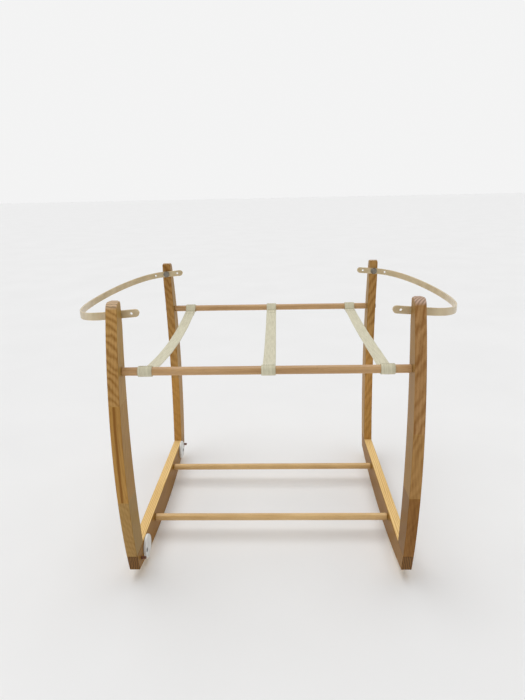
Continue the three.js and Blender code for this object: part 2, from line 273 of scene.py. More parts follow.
    def ramp(self, value: bpy.types.NodeSocket, stops: Sequence[tuple[float, Colour]]) -> bpy.types.NodeSocket:
        """The colour that a value picks from a ramp.

        Args:
            value: the value, 0 to 1.
            stops: each stop's place and colour, in order.

        Returns:
            The colour.
        """
        made = self.node("ShaderNodeValToRGB", {0: value})
        elements = made.color_ramp.elements
        while len(elements) < len(stops):
            elements.new(0.5)
        for element, (place, colour) in zip(elements, stops):
            element.position = place
            element.color = (*colour, 1)
        return made.outputs[0]

    def mix(self, share: object, first: object, second: object, blend: str = "MIX") -> bpy.types.NodeSocket:
        """Mixes two colours, given as sockets or as plain colours.

        Args:
            share: how much the second colour shows, 0 to 1.
            first: the first colour.
            second: the second colour.
            blend: the blend type.

        Returns:
            The mixed colour.
        """
        made = self.tree.nodes.new("ShaderNodeMix")
        made.data_type = "RGBA"
        made.blend_type = blend
        for index, value in ((0, share), (6, first), (7, second)):
            if isinstance(value, bpy.types.NodeSocket):
                self.tree.links.new(value, made.inputs[index])
            elif index:
                made.inputs[index].default_value = (*value, 1)
            else:
                made.inputs[index].default_value = value
        return made.outputs[2]

    def facing(self, axis: int, low: float = 0.55, high: float = 0.8) -> bpy.types.NodeSocket:
        """How far the surface looks along one axis of the piece, either way.

        Args:
            axis: the axis' number.
            low: where it starts to count.
            high: where it counts in full.

        Returns:
            The value, 0 to 1.
        """
        split = self.node("ShaderNodeSeparateXYZ", {0: self.coordinates.outputs["Normal"]})
        away = self.math("ABSOLUTE", split.outputs[axis])
        return self.ranged(away, low, high)

    def place(self, axis: int) -> bpy.types.NodeSocket:
        """One of the piece's own coordinates, in metres."""
        split = self.node("ShaderNodeSeparateXYZ", {0: self.coordinates.outputs["Object"]})
        return split.outputs[axis]

    def finish(self, colour: bpy.types.NodeSocket, height: bpy.types.NodeSocket, depth: float,
               roughness: bpy.types.NodeSocket | None = None) -> bpy.types.Material:
        """Feeds the shader and hands the material over.

        Args:
            colour: the base colour.
            height: the bump's height, 0 to 1.
            depth: what a height of 1 is, in metres.
            roughness: the roughness, if it varies.

        Returns:
            The finished material.
        """
        bump = self.node("ShaderNodeBump", {"Height": height, "Strength": 1.0, "Distance": depth})
        self.tree.links.new(colour, self.shader.inputs["Base Color"])
        self.tree.links.new(bump.outputs[0], self.shader.inputs["Normal"])
        if roughness is not None:
            self.tree.links.new(roughness, self.shader.inputs["Roughness"])
        return self.material


@dataclass(frozen=True)
class Board:
    """How one board's wood differs from the next: its glued blocks and the run of its rings.

    Attributes:
        joints: places of the glue lines along the grain, rising, in metres.
        tones: what each block between the glue lines multiplies the wood's colour by.
        lean: angle of the bands on the sawn edge, in degrees, or 0 for none.
        spacing: distance between those bands, in metres.
        banded: how strongly each block shows the bands, 0 to 1.
        streak: how strongly each block shows a dark streak along its sawn edge, 0 to 1.
        streak_x: where the streak runs, in metres.
        shift: moves the whole pattern, so that no two boards match.
        sharp: how thin the bands are; 1 is broad.
        pith: where the rings' middle lies across the board, in metres.
    """

    joints: tuple[float, ...] = ()
    tones: tuple[Colour, ...] = ((1.0, 1.0, 1.0),)
    lean: float = 0.0
    spacing: float = 0.012
    banded: tuple[float, ...] = (0.0,)
    streak: tuple[float, ...] = (0.0,)
    streak_x: float = 0.0
    shift: float = 0.0
    sharp: float = 1.5
    pith: Point2 = (0.031, 0.011)


@dataclass(frozen=True)
class PineFinish:
    """Lacquered softwood whose grain runs along one axis of the piece.

    Attributes:
        side: the pale and the darker colour of the broad faces, which look along X: the wood's colour with painted
            shade, set by the faces' direction.
        edge: the pale and the darker wood of the sawn edges.
        end: the middle colour of cut ends.
        grain_axis: the axis the fibres run along, 0 to 2.
        end_share: how much the cut ends differ, 0 to 1.
        ring: distance between rings on the flat sides, in metres.
        side_contrast: how strongly the rings show on the broad faces.
        edge_contrast: how strongly the rings show on the sawn edges.
        wander: how far the rings stray, in rings.
        ring_turn: how far the rings are turned about the grain, in radians.
        end_ring: distance between rings on the cut ends, in metres.
        relief: depth of the fibres, in metres.
    """

    side: tuple[Colour, Colour]
    edge: tuple[Colour, Colour]
    end: Colour
    grain_axis: int
    end_share: float = 1.0
    ring: float = 0.0045
    side_contrast: float = 0.5
    edge_contrast: float = 0.2
    wander: float = 11.0
    ring_turn: float = 0.6
    end_ring: float = 0.0042
    relief: float = 0.00012

    def along(self, across: float, along: float) -> tuple[float, float, float]:
        """Repeats per metre on each axis of a board.

        Args:
            across: repeats across the grain.
            along: repeats along the grain.

        Returns:
            The three repeats.
        """
        scale = [across] * 3
        scale[self.grain_axis] = along
        return scale[0], scale[1], scale[2]

    def steps(self, tree: ShaderTree, board: Board, values: Sequence[float]) -> bpy.types.NodeSocket:
        """A value that changes at each glue line of a board.

        Args:
            tree: the material's nodes.
            board: the board's own look.
            values: one value for each glued block, in order.

        Returns:
            The value.
        """
        place = tree.place(self.grain_axis)
        total = tree.plus(values[0], 0.0)
        for joint, before, after in zip(board.joints, values, values[1:]):
            total = tree.plus(total, tree.specks(place, joint, after - before))
        return total

    def side_grain(self, tree: ShaderTree, shift: bpy.types.NodeSocket) -> bpy.types.NodeSocket:
        """The long rings of a flat side, wandering as they run along the board.

        Args:
            tree: the material's nodes.
            shift: how far this board's rings are moved.

        Returns:
            The value, 0 to 1.
        """
        stretched = tree.mapped(self.along(1 / self.ring, 4.0), turn=(0.05, 0.04, 0.03))
        push = tree.times(tree.grain(self.along(24, 2.2), 2.0), self.wander)
        moved = tree.pushed(stretched, tree.plus(push, shift), push)
        turn = [0.0, 0.0, 0.0]
        turn[self.grain_axis] = self.ring_turn
        diagonal = tree.node("ShaderNodeMapping", {"Vector": moved, "Rotation": tuple(turn)})
        return tree.bands(diagonal.outputs[0], distortion=1.2)

    def build(self, name: str, board: Board = Board()) -> bpy.types.Material:
        """Makes the material for one board.

        Args:
            name: the material's name.
            board: how this board differs.

        Returns:
            The material.
        """
        tree = ShaderTree(name, roughness=0.42)
        tree.gloss(0.04, 0.3)
        tree.shader.inputs["Specular IOR Level"].default_value = 0.12
        shift = self.steps(tree, board, [board.shift + 7.3 * i for i in range(len(board.tones))])
        rings = self.side_grain(tree, shift)
        broad = tree.facing(0)
        contrast = tree.ranged(broad, to_low=self.edge_contrast, to_high=self.side_contrast)
        soft = tree.times(tree.math("POWER", rings, 2.2), contrast)
        patches = tree.grain(self.along(16, 3.0), 2.0, move=(board.shift, 0, 0))
        fibre = tree.grain(self.along(1400, 26))
        flecks = tree.grain(self.along(620, 34), 1.0, move=(board.shift, 2, 5))
        share = tree.plus(soft, tree.times(tree.math("SUBTRACT", patches, 0.42), 1.1), clamp=True)
        share = self.add_bands(tree, board, share)
        share = tree.plus(share, tree.times(tree.math("SUBTRACT", fibre, 0.5), 0.4), clamp=True)
        # The broad faces take the side colours, painted shade chosen by the way each face looks.
        pale = tree.mix(broad, self.edge[0], self.side[0])
        deep = tree.mix(broad, self.edge[1], self.side[1])
        colour = tree.mix(share, pale, deep)
        colour = tree.mix(tree.specks(flecks, 0.66, 0.22), colour, scaled(self.edge[1], 0.55))
        colour = self.add_end_grain(tree, board, colour)
        colour = self.add_blocks(tree, board, colour)
        rough = tree.ranged(fibre, to_low=0.36, to_high=0.54)
        height = tree.plus(tree.times(fibre, 0.7), tree.times(rings, 0.3))
        return tree.finish(colour, height, self.relief, rough)

    def add_bands(self, tree: ShaderTree, board: Board, share: bpy.types.NodeSocket) -> bpy.types.NodeSocket:
        """Adds the slanting bands and the dark streak of a curved edge that is sawn across the rings.

        Args:
            tree: the material's nodes.
            board: the board's own look.
            share: the share of dark wood so far.

        Returns:
            The share with the bands and the streak in it.
        """
        if not board.lean:
            return share
        lean = math.radians(board.lean)
        scale = 1 / board.spacing
        vector = tree.mapped((scale * 0.9, scale * 0.35, scale), turn=(0, math.pi / 2 + lean, 0))
        warp = tree.grain((30, 8, 22), 3.0, move=(board.shift, 1, 1))
        bent = tree.pushed(vector, tree.times(warp, 2.4))
        band = tree.math("POWER", tree.bands(bent, distortion=0.7), board.sharp)
        fade = tree.ranged(tree.grain((40, 10, 14), 2.0), 0.3, 0.6, to_low=0.35)
        edge = tree.facing(1)
        strength = tree.times(self.steps(tree, board, board.banded), tree.times(edge, fade))
        share = tree.plus(share, tree.times(band, strength), clamp=True)
        if not any(board.streak):
            return share
        wander = tree.times(tree.grain((3, 3, 11), 1.0), 0.006)
        away = tree.math("ABSOLUTE", tree.plus(tree.math("SUBTRACT", tree.place(0), board.streak_x), wander))
        streak = tree.ranged(away, 0.0005, 0.0038, 1.0, 0.0)
        strength = tree.times(self.steps(tree, board, board.streak), edge)
        return tree.plus(share, tree.times(streak, strength))

    def add_end_grain(self, tree: ShaderTree, board: Board, colour: bpy.types.NodeSocket) -> bpy.types.NodeSocket:
        """Lays the arcs of the rings over the faces that are cut across the grain.

        Args:
            tree: the material's nodes.
            board: the board's own look.
            colour: the colour so far.

        Returns:
            The colour with the arcs.
        """
        centre = (board.pith[0] + board.shift * MM, board.pith[1], -0.018)
        scale = 1 / self.end_ring
        turn = (math.pi / 2, 0, 0) if self.grain_axis == 1 else (0, 0, 0)
        arcs = tree.mapped((scale,) * 3, turn=turn, move=[-c * scale for c in centre])
        wobble = tree.times(tree.grain((60,) * 3, 2.0), 1.6)
        ring = tree.math("POWER", tree.bands(tree.pushed(arcs, wobble, wobble), rings=True), 1.4)
        cut = tree.mix(ring, scaled(self.end, 1.12), scaled(self.end, 0.46))
        cut = tree.mix(tree.specks(tree.grain((2600,) * 3, 1.0), 0.62, 0.3), cut, scaled(self.end, 0.5))
        share = tree.times(tree.facing(self.grain_axis, 0.3, 0.62), self.end_share)
        return tree.mix(share, colour, cut)

    def add_blocks(self, tree: ShaderTree, board: Board, colour: bpy.types.NodeSocket) -> bpy.types.NodeSocket:
        """Gives each glued block its own tone and draws the thin glue lines between them.

        Args:
            tree: the material's nodes.
            board: the board's own look.
            colour: the colour so far.

        Returns:
            The colour with the blocks and lines.
        """
        if not board.joints:
            return colour
        channels = {i: self.steps(tree, board, [tone[i] for tone in board.tones]) for i in range(3)}
        level = tree.node("ShaderNodeCombineColor", channels).outputs[0]
        colour = tree.mix(1.0, colour, level, "MULTIPLY")
        place = tree.place(self.grain_axis)
        for joint in board.joints:
            near = tree.math("ABSOLUTE", tree.math("SUBTRACT", place, joint))
            colour = tree.mix(tree.ranged(near, 0.0003, 0.0009, 0.3, 0.0), colour, scaled(self.side[0], 1.2))
        return colour


@dataclass(frozen=True)
class KnotSpot:
    """A small dark knot on a dowel.

    Attributes:
        centre: where it is, in metres.
        radius: its size, in metres.
        colour: its colour.
    """

    centre: tuple[float, float, float]
    radius: float
    colour: Colour = srgb(84, 84, 48)


@dataclass(frozen=True)
class DowelFinish:
    """A turned and lacquered hardwood rod that lies along X.

    Attributes:
        pale: the lighter fibres.
        deep: the darker fibres.
        knot: a knot in the surface, or None.
        relief: depth of the fibres, in metres.
    """

    pale: Colour
    deep: Colour
    knot: KnotSpot | None = None
    relief: float = 0.00008

    def build(self, name: str, shift: float) -> bpy.types.Material:
        """Makes the material.

        Args:
            name: the material's name.
            shift: moves the pattern, so that no two dowels match.

        Returns:
            The material.
        """
        tree = ShaderTree(name, roughness=0.4)
        tree.gloss(0.2, 0.25)
        streak = tree.grain((7, 260, 260), 4.0, move=(shift, 0, 0))
        cloud = tree.grain((9, 30, 30), 2.0, move=(shift, 3, 0))
        fibre = tree.grain((30, 1800, 1800), 2.0)
        share = tree.plus(tree.times(streak, 0.55), tree.times(cloud, 0.55))
        colour = tree.ramp(tree.ranged(share, 0.38, 0.72), [(0.0, self.pale), (1.0, self.deep)])
        dash = tree.grain((90, 1500, 1500), 1.0, move=(shift, 1, 1))
        colour = tree.mix(tree.specks(dash, 0.66, 0.4), colour, scaled(self.deep, 0.65))
        if self.knot:
            colour = self.add_knot(tree, colour)
        return tree.finish(colour, fibre, self.relief, tree.ranged(fibre, to_low=0.32, to_high=0.5))

    def add_knot(self, tree: ShaderTree, colour: bpy.types.NodeSocket) -> bpy.types.NodeSocket:
        """Lays the knot over the wood.

        Args:
            tree: the material's nodes.
            colour: the colour so far.

        Returns:
            The colour with the knot.
        """
        gap = tree.node("ShaderNodeVectorMath", {0: tree.coordinates.outputs["Object"], 1: self.knot.centre},
                        operation="DISTANCE").outputs["Value"]
        ragged = tree.plus(gap, tree.times(tree.grain((900,) * 3), 0.0012))
        share = tree.ranged(ragged, self.knot.radius * 0.8, self.knot.radius * 1.5, 0.85, 0.0)
        return tree.mix(share, colour, self.knot.colour)


@dataclass(frozen=True)
class WebbingFinish:
    """Flat woven cotton webbing, read from a UV map in metres: u across, v along the strap.

    Attributes:
        yarn: the yarn's colour.
        shade: the colour between the yarns.
        width: the strap's width in metres.
        rib: distance between the yarns across the strap, in metres.
        pick: distance between two crossings along the strap, in metres.
        relief: depth of the weave, in metres.
    """

    yarn: Colour = srgb(230, 225, 199)
    shade: Colour = srgb(176, 169, 137)
    width: float = 0.025
    rib: float = 0.0016
    pick: float = 0.0022
    relief: float = 0.00022

    def build(self) -> bpy.types.Material:
        """Makes the material.

        Returns:
            The material.
        """
        tree = ShaderTree("cream_webbing", roughness=0.9)
        tree.shader.inputs["Sheen Weight"].default_value = 0.25
        tree.shader.inputs["Sheen Roughness"].default_value = 0.5
        split = tree.node("ShaderNodeSeparateXYZ", {0: tree.coordinates.outputs["UV"]})
        across, along = split.outputs[0], split.outputs[1]
        warp = tree.math("SINE", tree.times(across, math.tau / self.rib))
        weft = tree.math("SINE", tree.times(along, math.tau / self.pick))
        ribs = tree.math("ABSOLUTE", tree.math("SINE", tree.times(across, math.pi / self.rib)))
        weave = tree.plus(tree.times(tree.times(warp, weft), 0.28), tree.times(ribs, 0.55))
        height = tree.plus(weave, 0.25, clamp=True)
        slub = tree.grain((900, 160, 1), 2.0, source="UV")
        tone = tree.plus(tree.times(height, 0.7), tree.times(slub, 0.4), clamp=True)
        colour = tree.ramp(tone, [(0.1, self.shade), (0.75, self.yarn)])
        stripes = tree.ranged(tree.grain((430, 26, 1), source="UV"), 0.4, 0.62, 0.0, 0.38)
        colour = tree.mix(stripes, colour, scaled(self.shade, 1.05))
        edge = tree.math("ABSOLUTE", tree.math("SUBTRACT", across, self.width / 2))
        selvage = tree.ranged(edge, self.width / 2 - 0.002, self.width / 2 - 0.0004, to_high=0.3)
        return tree.finish(tree.mix(selvage, colour, self.shade), height, self.relief)


@dataclass(frozen=True)
class ThreadFinish:
    """Twisted sewing thread, a little darker than the webbing."""

    colour: Colour = srgb(170, 163, 132)

    def build(self) -> bpy.types.Material:
        """Makes the material.

        Returns:
            The material.
        """
        tree = ShaderTree("sewing_thread", roughness=0.8)
        twist = tree.grain((2400,) * 3, 1.0)
        colour = tree.ramp(twist, [(0.3, scaled(self.colour, 0.7)), (0.7, self.colour)])
        return tree.finish(colour, twist, 0.0001)


@dataclass(frozen=True)
class PlasticFinish:
    """Moulded plastic with a faint mottle, fine scuffs and some depth to the light.

    Attributes:
        name: the material's name.
        colour: the main colour.
        worn: the colour of the mottle.
        roughness: how dull the surface is.
        depth: how much light passes into it, 0 to 1.
        coat: strength of the clear gloss over it.
    """

    name: str
    colour: Colour
    worn: Colour
    roughness: float
    depth: float
    coat: float = 0.0

    def build(self) -> bpy.types.Material:
        """Makes the material.

        Returns:
            The material.
        """
        tree = ShaderTree(self.name, roughness=self.roughness)
        tree.shader.inputs["Subsurface Weight"].default_value = self.depth
        tree.shader.inputs["Subsurface Radius"].default_value = (1.0, 0.85, 0.6)
        tree.shader.inputs["Subsurface Scale"].default_value = 0.004
        tree.gloss(self.coat, 0.2)
        mottle = tree.grain((34,) * 3, 4.0)
        scuff = tree.grain((260, 900, 260))
        grit = tree.grain((1500,) * 3, 2.0)
        colour = tree.mix(tree.ranged(mottle, 0.35, 0.75), self.colour, self.worn)
        colour = tree.mix(tree.specks(scuff, 0.66, 0.25), colour, scaled(self.worn, 0.85))
        rough = tree.ranged(scuff, to_low=self.roughness - 0.08, to_high=self.roughness + 0.14)
        return tree.finish(colour, grit, 0.00003, rough)


@dataclass(frozen=True)
class MetalFinish:
    """Plated metal with a fine brushed grain and a few dull spots.

    Attributes:
        name: the material's name.
        colour: the metal's colour.
        dull: the colour of handled spots.
        roughness: how dull the surface is.
    """

    name: str
    colour: Colour
    dull: Colour
    roughness: float = 0.32

    def build(self) -> bpy.types.Material:
        """Makes the material.

        Returns:
            The material.
        """
        tree = ShaderTree(self.name, roughness=self.roughness, metallic=1.0)
        brushed = tree.grain((2600, 220, 2600), 2.0)
        spots = tree.grain((190,) * 3, 4.0)
        colour = tree.mix(tree.ranged(spots, 0.45, 0.7), self.colour, self.dull)
        rough = tree.ranged(brushed, to_low=self.roughness - 0.1, to_high=self.roughness + 0.18)
        return tree.finish(colour, brushed, 0.00002, rough)


# ---------------------------------------------------------------------------------------------------
# Meshes


class Maker:
    """Ways to make closed meshes, with each piece's place in its mesh."""

    @staticmethod
    def mesh(name: str, points: Sequence[Vector], faces: Sequence[Sequence[int]]) -> bpy.types.Object:
        """Makes an object from points and faces, with doubles merged and faces turned outwards.

        Args:
            name: the object's name.
            points: the corners.
            faces: the corners of each face.

        Returns:
            The object, linked to the scene.
        """
        data = bpy.data.meshes.new(name)
        data.from_pydata([tuple(p) for p in points], [], [tuple(f) for f in faces])
        shape = bmesh.new()
        shape.from_mesh(data)
        bmesh.ops.remove_doubles(shape, verts=shape.verts, dist=1e-7)
        bmesh.ops.recalc_face_normals(shape, faces=shape.faces)
        shape.to_mesh(data)
        shape.free()
        made = bpy.data.objects.new(name, data)
        bpy.context.scene.collection.objects.link(made)
        return made

    @staticmethod
    def loft(name: str, rings: Sequence[Ring]) -> bpy.types.Object:
        """Skins a row of rings of equal size and closes both ends.

        Args:
            name: the object's name.
            rings: the rings, in order.

        Returns:
            The closed object.
        """
        size = len(rings[0])
        points = [p for ring in rings for p in ring]
        faces: list[list[int]] = []
        for row in range(len(rings) - 1):
            for k in range(size):
                a, b = row * size + k, row * size + (k + 1) % size
                faces.append([a, b, b + size, a + size])
        faces.append(list(range(size)))
        faces.append([(len(rings) - 1) * size + k for k in range(size)])
        return Maker.mesh(name, points, faces)

    @staticmethod
    def turned(name: str, profile: Sequence[Point2], axis: Vector, start: Vector, sides: int = 48,
               hexes: Sequence[int] = ()) -> bpy.types.Object:
        """A body turned about an axis.

        Args:
            name: the object's name.
            profile: radius and distance along the axis, from one end to the other.
            axis: the direction of the axis.
            start: the point at distance 0.
            sides: corners round the body, a multiple of 6.
            hexes: numbers of the profile points whose ring is a hexagon.

        Returns:
            The closed object.
        """
        turn = Vector((0, 0, 1)).rotation_difference(axis.normalized()).to_matrix()
        rings: list[Ring] = []
        for index, (radius, along) in enumerate(profile):
            ring: Ring = []
            for k in range(sides):
                angle = math.tau * k / sides
                reach = radius
                if index in hexes:
                    reach = radius * math.cos(math.pi / 6) / math.cos(angle % (math.pi / 3) - math.pi / 6)
                local = Vector((reach * math.cos(angle), reach * math.sin(angle), along))
                ring.append(start + turn @ local)
            rings.append(ring)
        return Maker.loft(name, rings)

    @staticmethod
    def cut(target: bpy.types.Object, tools: Sequence[bpy.types.Object]) -> None:
        """Drills a piece with other objects, which are then removed.

        Args:
            target: the piece.
            tools: the other objects.
        """
        for tool in tools:
            boolean = target.modifiers.new("drill", "BOOLEAN")
            boolean.operation = "DIFFERENCE"
            boolean.solver = "EXACT"
            boolean.object = tool
        Maker.bake(target)
        for tool in tools:
            Maker.discard(tool)

    @staticmethod
    def bake(target: bpy.types.Object) -> None:
        """Turns a piece's live modifiers into plain mesh.

        Args:
            target: the piece.
        """
        bpy.context.view_layer.update()
        evaluated = target.evaluated_get(bpy.context.evaluated_depsgraph_get())
        plain = bpy.data.meshes.new_from_object(evaluated)
        target.modifiers.clear()
        target.data = plain

    @staticmethod
    def discard(target: bpy.types.Object) -> None:
        """Removes an object from the file."""
        bpy.data.objects.remove(target, do_unlink=True)

    @staticmethod
    def smooth(target: bpy.types.Object, degrees: float = 32.0, weighted: bool = False) -> None:
        """Shades a piece smoothly, except over edges sharper than an angle.

        Args:
            target: the piece.
            degrees: the sharpest edge that still looks round.
            weighted: whether wide faces keep their own direction.
        """
        target.data.polygons.foreach_set("use_smooth", [True] * len(target.data.polygons))
        target.data.set_sharp_from_angle(angle=math.radians(degrees))
        if weighted:
            flat = target.modifiers.new("flat_faces", "WEIGHTED_NORMAL")
            flat.keep_sharp = True
            Maker.bake(target)

    @staticmethod
    def rounded(inner: Vector, outer: Vector, side: Vector, half: float, radius: float, steps: int = 4) -> Ring:
        """A rounded rectangle that runs from one point to another and a half width to both sides.

        Args:
            inner: middle of the near short edge.
            outer: middle of the far short edge.
            side: direction across, of length 1.
            half: half the width across.
            radius: radius of the corners.
            steps: segments for each corner.

        Returns:
            The ring.
        """
        along = (outer - inner).normalized()
        length = (outer - inner).length
        radius = min(radius, length * 0.49, half * 0.98)
        corners = ((length - radius, half - radius, 0), (radius, half - radius, 1),
                   (radius, radius - half, 2), (length - radius, radius - half, 3))
        ring: Ring = []
        for cx, cy, quarter in corners:
            for step in range(steps + 1):
                angle = math.pi / 2 * (quarter + step / steps)
                ring.append(inner + along * (cx + radius * math.cos(angle)) + side * (cy + radius * math.sin(angle)))
        return ring


def rod(name: str, radius: float, start: Vector, end: Vector, sides: int = 36) -> bpy.types.Object:
    """A plain round drill from one point to another."""
    return Maker.turned(name, [(radius, 0), (radius, (end - start).length)], end - start, start, sides)


def dress(piece: bpy.types.Object, material: bpy.types.Material, slot: Slot, body: str, *nodes: str) -> None:
    """Gives a finished piece its material, body and the nodes it stands for, and logs it.

    Args:
        piece: the finished piece.
        material: its material.
        slot: the record's slot for its finish; not used.
        body: the body it rides on.
        nodes: the CAD nodes it stands for.
    """
    piece.data.materials.clear()
    piece.data.materials.append(material)
    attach(piece, body)
    if nodes:
        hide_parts(*nodes)
    LOG.info("%s: %d faces on %s", piece.name, len(piece.data.polygons), body)


def arc_through(points: Sequence[Point2], height: float) -> float:
    """Reads the outer side of the circle through three points.

    Args:
        points: three [y, z] points.
        height: the z to read it at.

    Returns:
        The y there.
    """
    (y1, z1), (y2, z2), (y3, z3) = points
    d = 2 * (y1 * (z2 - z3) + y2 * (z3 - z1) + y3 * (z1 - z2))
    s1, s2, s3 = y1 * y1 + z1 * z1, y2 * y2 + z2 * z2, y3 * y3 + z3 * z3
    cy = (s1 * (z2 - z3) + s2 * (z3 - z1) + s3 * (z1 - z2)) / d
    cz = (s1 * (y3 - y2) + s2 * (y1 - y3) + s3 * (y2 - y1)) / d
    return cy + math.sqrt((y1 - cy) ** 2 + (z1 - cz) ** 2 - (height - cz) ** 2)


# ---------------------------------------------------------------------------------------------------
# Geometry Nodes


class GeometryTree:
    """A Geometry Nodes group with named inputs, that ends in Realize Instances and Set Material."""

    def __init__(self, name: str, sizes: dict[str, float]) -> None:
        """Makes the group.

        Args:
            name: the group's name.
            sizes: the named number inputs and their values.
        """
        self.tree = bpy.data.node_groups.new(name, "GeometryNodeTree")
        self.sizes = sizes
        interface = self.tree.interface
        interface.new_socket("Geometry", in_out="INPUT", socket_type="NodeSocketGeometry")
        self.identifiers = {
            key: interface.new_socket(key, in_out="INPUT", socket_type="NodeSocketFloat").identifier for key in sizes
        }
        interface.new_socket("Geometry", in_out="OUTPUT", socket_type="NodeSocketGeometry")
        self.entry = self.tree.nodes.new("NodeGroupInput")

    def node(self, kind: str, inputs: dict[str | int, object] | None = None, **settings: object) -> bpy.types.Node:
        """Adds a node.

        Args:
            kind: the node's type name.
            inputs: values or output sockets, by the input's name or number.
            settings: the node's own properties.

        Returns:
            The new node.
        """
        made = self.tree.nodes.new(kind)
        for key, value in settings.items():
            setattr(made, key, value)
        for key, value in (inputs or {}).items():
            if isinstance(value, bpy.types.NodeSocket):
                self.tree.links.new(value, made.inputs[key])
            else:
                made.inputs[key].default_value = value
        return made

    def close(self, instances: bpy.types.NodeSocket, material: bpy.types.Material) -> None:
        """Realizes the instances, sets their material and links the group's output.

        Args:
            instances: the instances' socket.
            material: their material.
        """
        real = self.node("GeometryNodeRealizeInstances", {0: instances})
        painted = self.node("GeometryNodeSetMaterial", {"Geometry": real.outputs[0], "Material": material})
        leave = self.tree.nodes.new("NodeGroupOutput")
        self.tree.links.new(painted.outputs[0], leave.inputs[0])

    def run(self, name: str, source: bpy.types.Object) -> bpy.types.Object:
        """Runs the group on an object and keeps the result as a plain mesh.

        Args:
            name: the new piece's name.
            source: the object that carries the points or paths; it is removed.

        Returns:
            The new piece.
        """
        modifier = source.modifiers.new(name, "NODES")
        modifier.node_group = self.tree
        for key, value in self.sizes.items():
            modifier[self.identifiers[key]] = value
        bpy.context.view_layer.update()
        evaluated = source.evaluated_get(bpy.context.evaluated_depsgraph_get())
        plain = bpy.data.meshes.new_from_object(evaluated)
        source.modifiers.clear()
        Maker.discard(source)
        made = bpy.data.objects.new(name, plain)
        bpy.context.scene.collection.objects.link(made)
        return made


def spread(name: str, prototype: bpy.types.Object, places: Sequence[tuple[Vector, Vector]],
           material: bpy.types.Material) -> bpy.types.Object:
    """Sets a copy of one fastener at each place, pointing along that place's direction.

    Args:
        name: the new piece's name.
        prototype: the fastener, made at the origin along +Z; it is removed.
        places: a point and a direction for each copy.
        material: the fastener's material.

    Returns:
        The fasteners as one piece.
    """
    data = bpy.data.meshes.new(name + "_places")
    data.from_pydata([tuple(point) for point, _ in places], [], [])
    aim = data.attributes.new("aim", "FLOAT_VECTOR", "POINT")
    aim.data.foreach_set("vector", [c for _, direction in places for c in direction])
    carrier = bpy.data.objects.new(name + "_places", data)
    bpy.context.scene.collection.objects.link(carrier)
    group = GeometryTree(name, {"Size": 1.0})
    direction = group.node("GeometryNodeInputNamedAttribute", {"Name": "aim"}, data_type="FLOAT_VECTOR")
    turn = group.node("FunctionNodeAlignRotationToVector", {"Vector": direction.outputs[0]}, axis="Z")
    shape = group.node("GeometryNodeObjectInfo", {"Object": prototype}, transform_space="ORIGINAL")
    copies = group.node("GeometryNodeInstanceOnPoints", {
        "Points": group.entry.outputs["Geometry"], "Instance": shape.outputs["Geometry"],
        "Rotation": turn.outputs[0], "Scale": group.entry.outputs["Size"]})
    group.close(copies.outputs[0], material)
    made = group.run(name, carrier)
    Maker.discard(prototype)
    return made


# ---------------------------------------------------------------------------------------------------
# Sub-assemblies


@dataclass
class Frame:
    """Sizes that the sub-assemblies share, in metres.

    Attributes:
        inner_x: distance of the boards' inner faces from the centre plane.
        board: thickness of the legs and rails.
        upper_y: distance of the upper dowels from the centre plane.
        upper_z: height of the upper dowels.
        lower_y: distance of the lower dowels from the centre plane.
        lower_z: height of the lower dowels.
        gap: clearance between pieces that touch.
        bolt_hole: radius of the holes for the dowels' bolts.
        screw_hole: radius of the holes for the leg screws' threads.
        snug_hole: radius of the holes for the leg screws' heads and for the pins.
        past: how far a drill starts outside the wood.
        screw_y: distance of the leg screws from the centre plane.
        pin_y: distance of the pins from the centre plane.
        hoop_z: height of the hoop bolts.
        stopper: y and z of a stopper's screw.
        peg: y and z of a stop peg.
    """

    inner_x: float = 0.250
    board: float = 0.020
    upper_y: float = 0.2606
    upper_z: float = 0.4243
    lower_y: float = 0.1139
    lower_z: float = 0.0413
    gap: float = 0.0003
    bolt_hole: float = 0.0033
    screw_hole: float = 0.0023
    snug_hole: float = 0.0043
    past: float = 0.002
    screw_y: float = 0.243
    pin_y: float = 0.264
    hoop_z: float = 0.519
    stopper: Point2 = (0.222, 0.0355)
    peg: Point2 = (0.251, 0.039)

    @property
    def mid_x(self) -> float:
        """Distance of a board's middle from the centre plane."""
        return self.inner_x + self.board / 2

    def bolt_drill(self, side: Side, y: float, z: float) -> bpy.types.Object:
        """A drill right through a board for the bolt of a dowel.

        Args:
            side: the board's side.
            y: the bolt's y.
            z: the bolt's z.

        Returns:
            The drill.
        """
        near = side.value * (self.inner_x - self.past)
        far = side.value * (self.inner_x + self.board + self.past)
        return rod("drill", self.bolt_hole, Vector((near, y, z)), Vector((far, y, z)))

    def upright_drill(self, side: Side, radius: float, y: float, low: float, high: float) -> bpy.types.Object:
        """A drill up the middle of a board, from one height to another."""
        x = side.value * self.mid_x
        return rod("drill", radius, Vector((x, y, low)), Vector((x, y, high)))


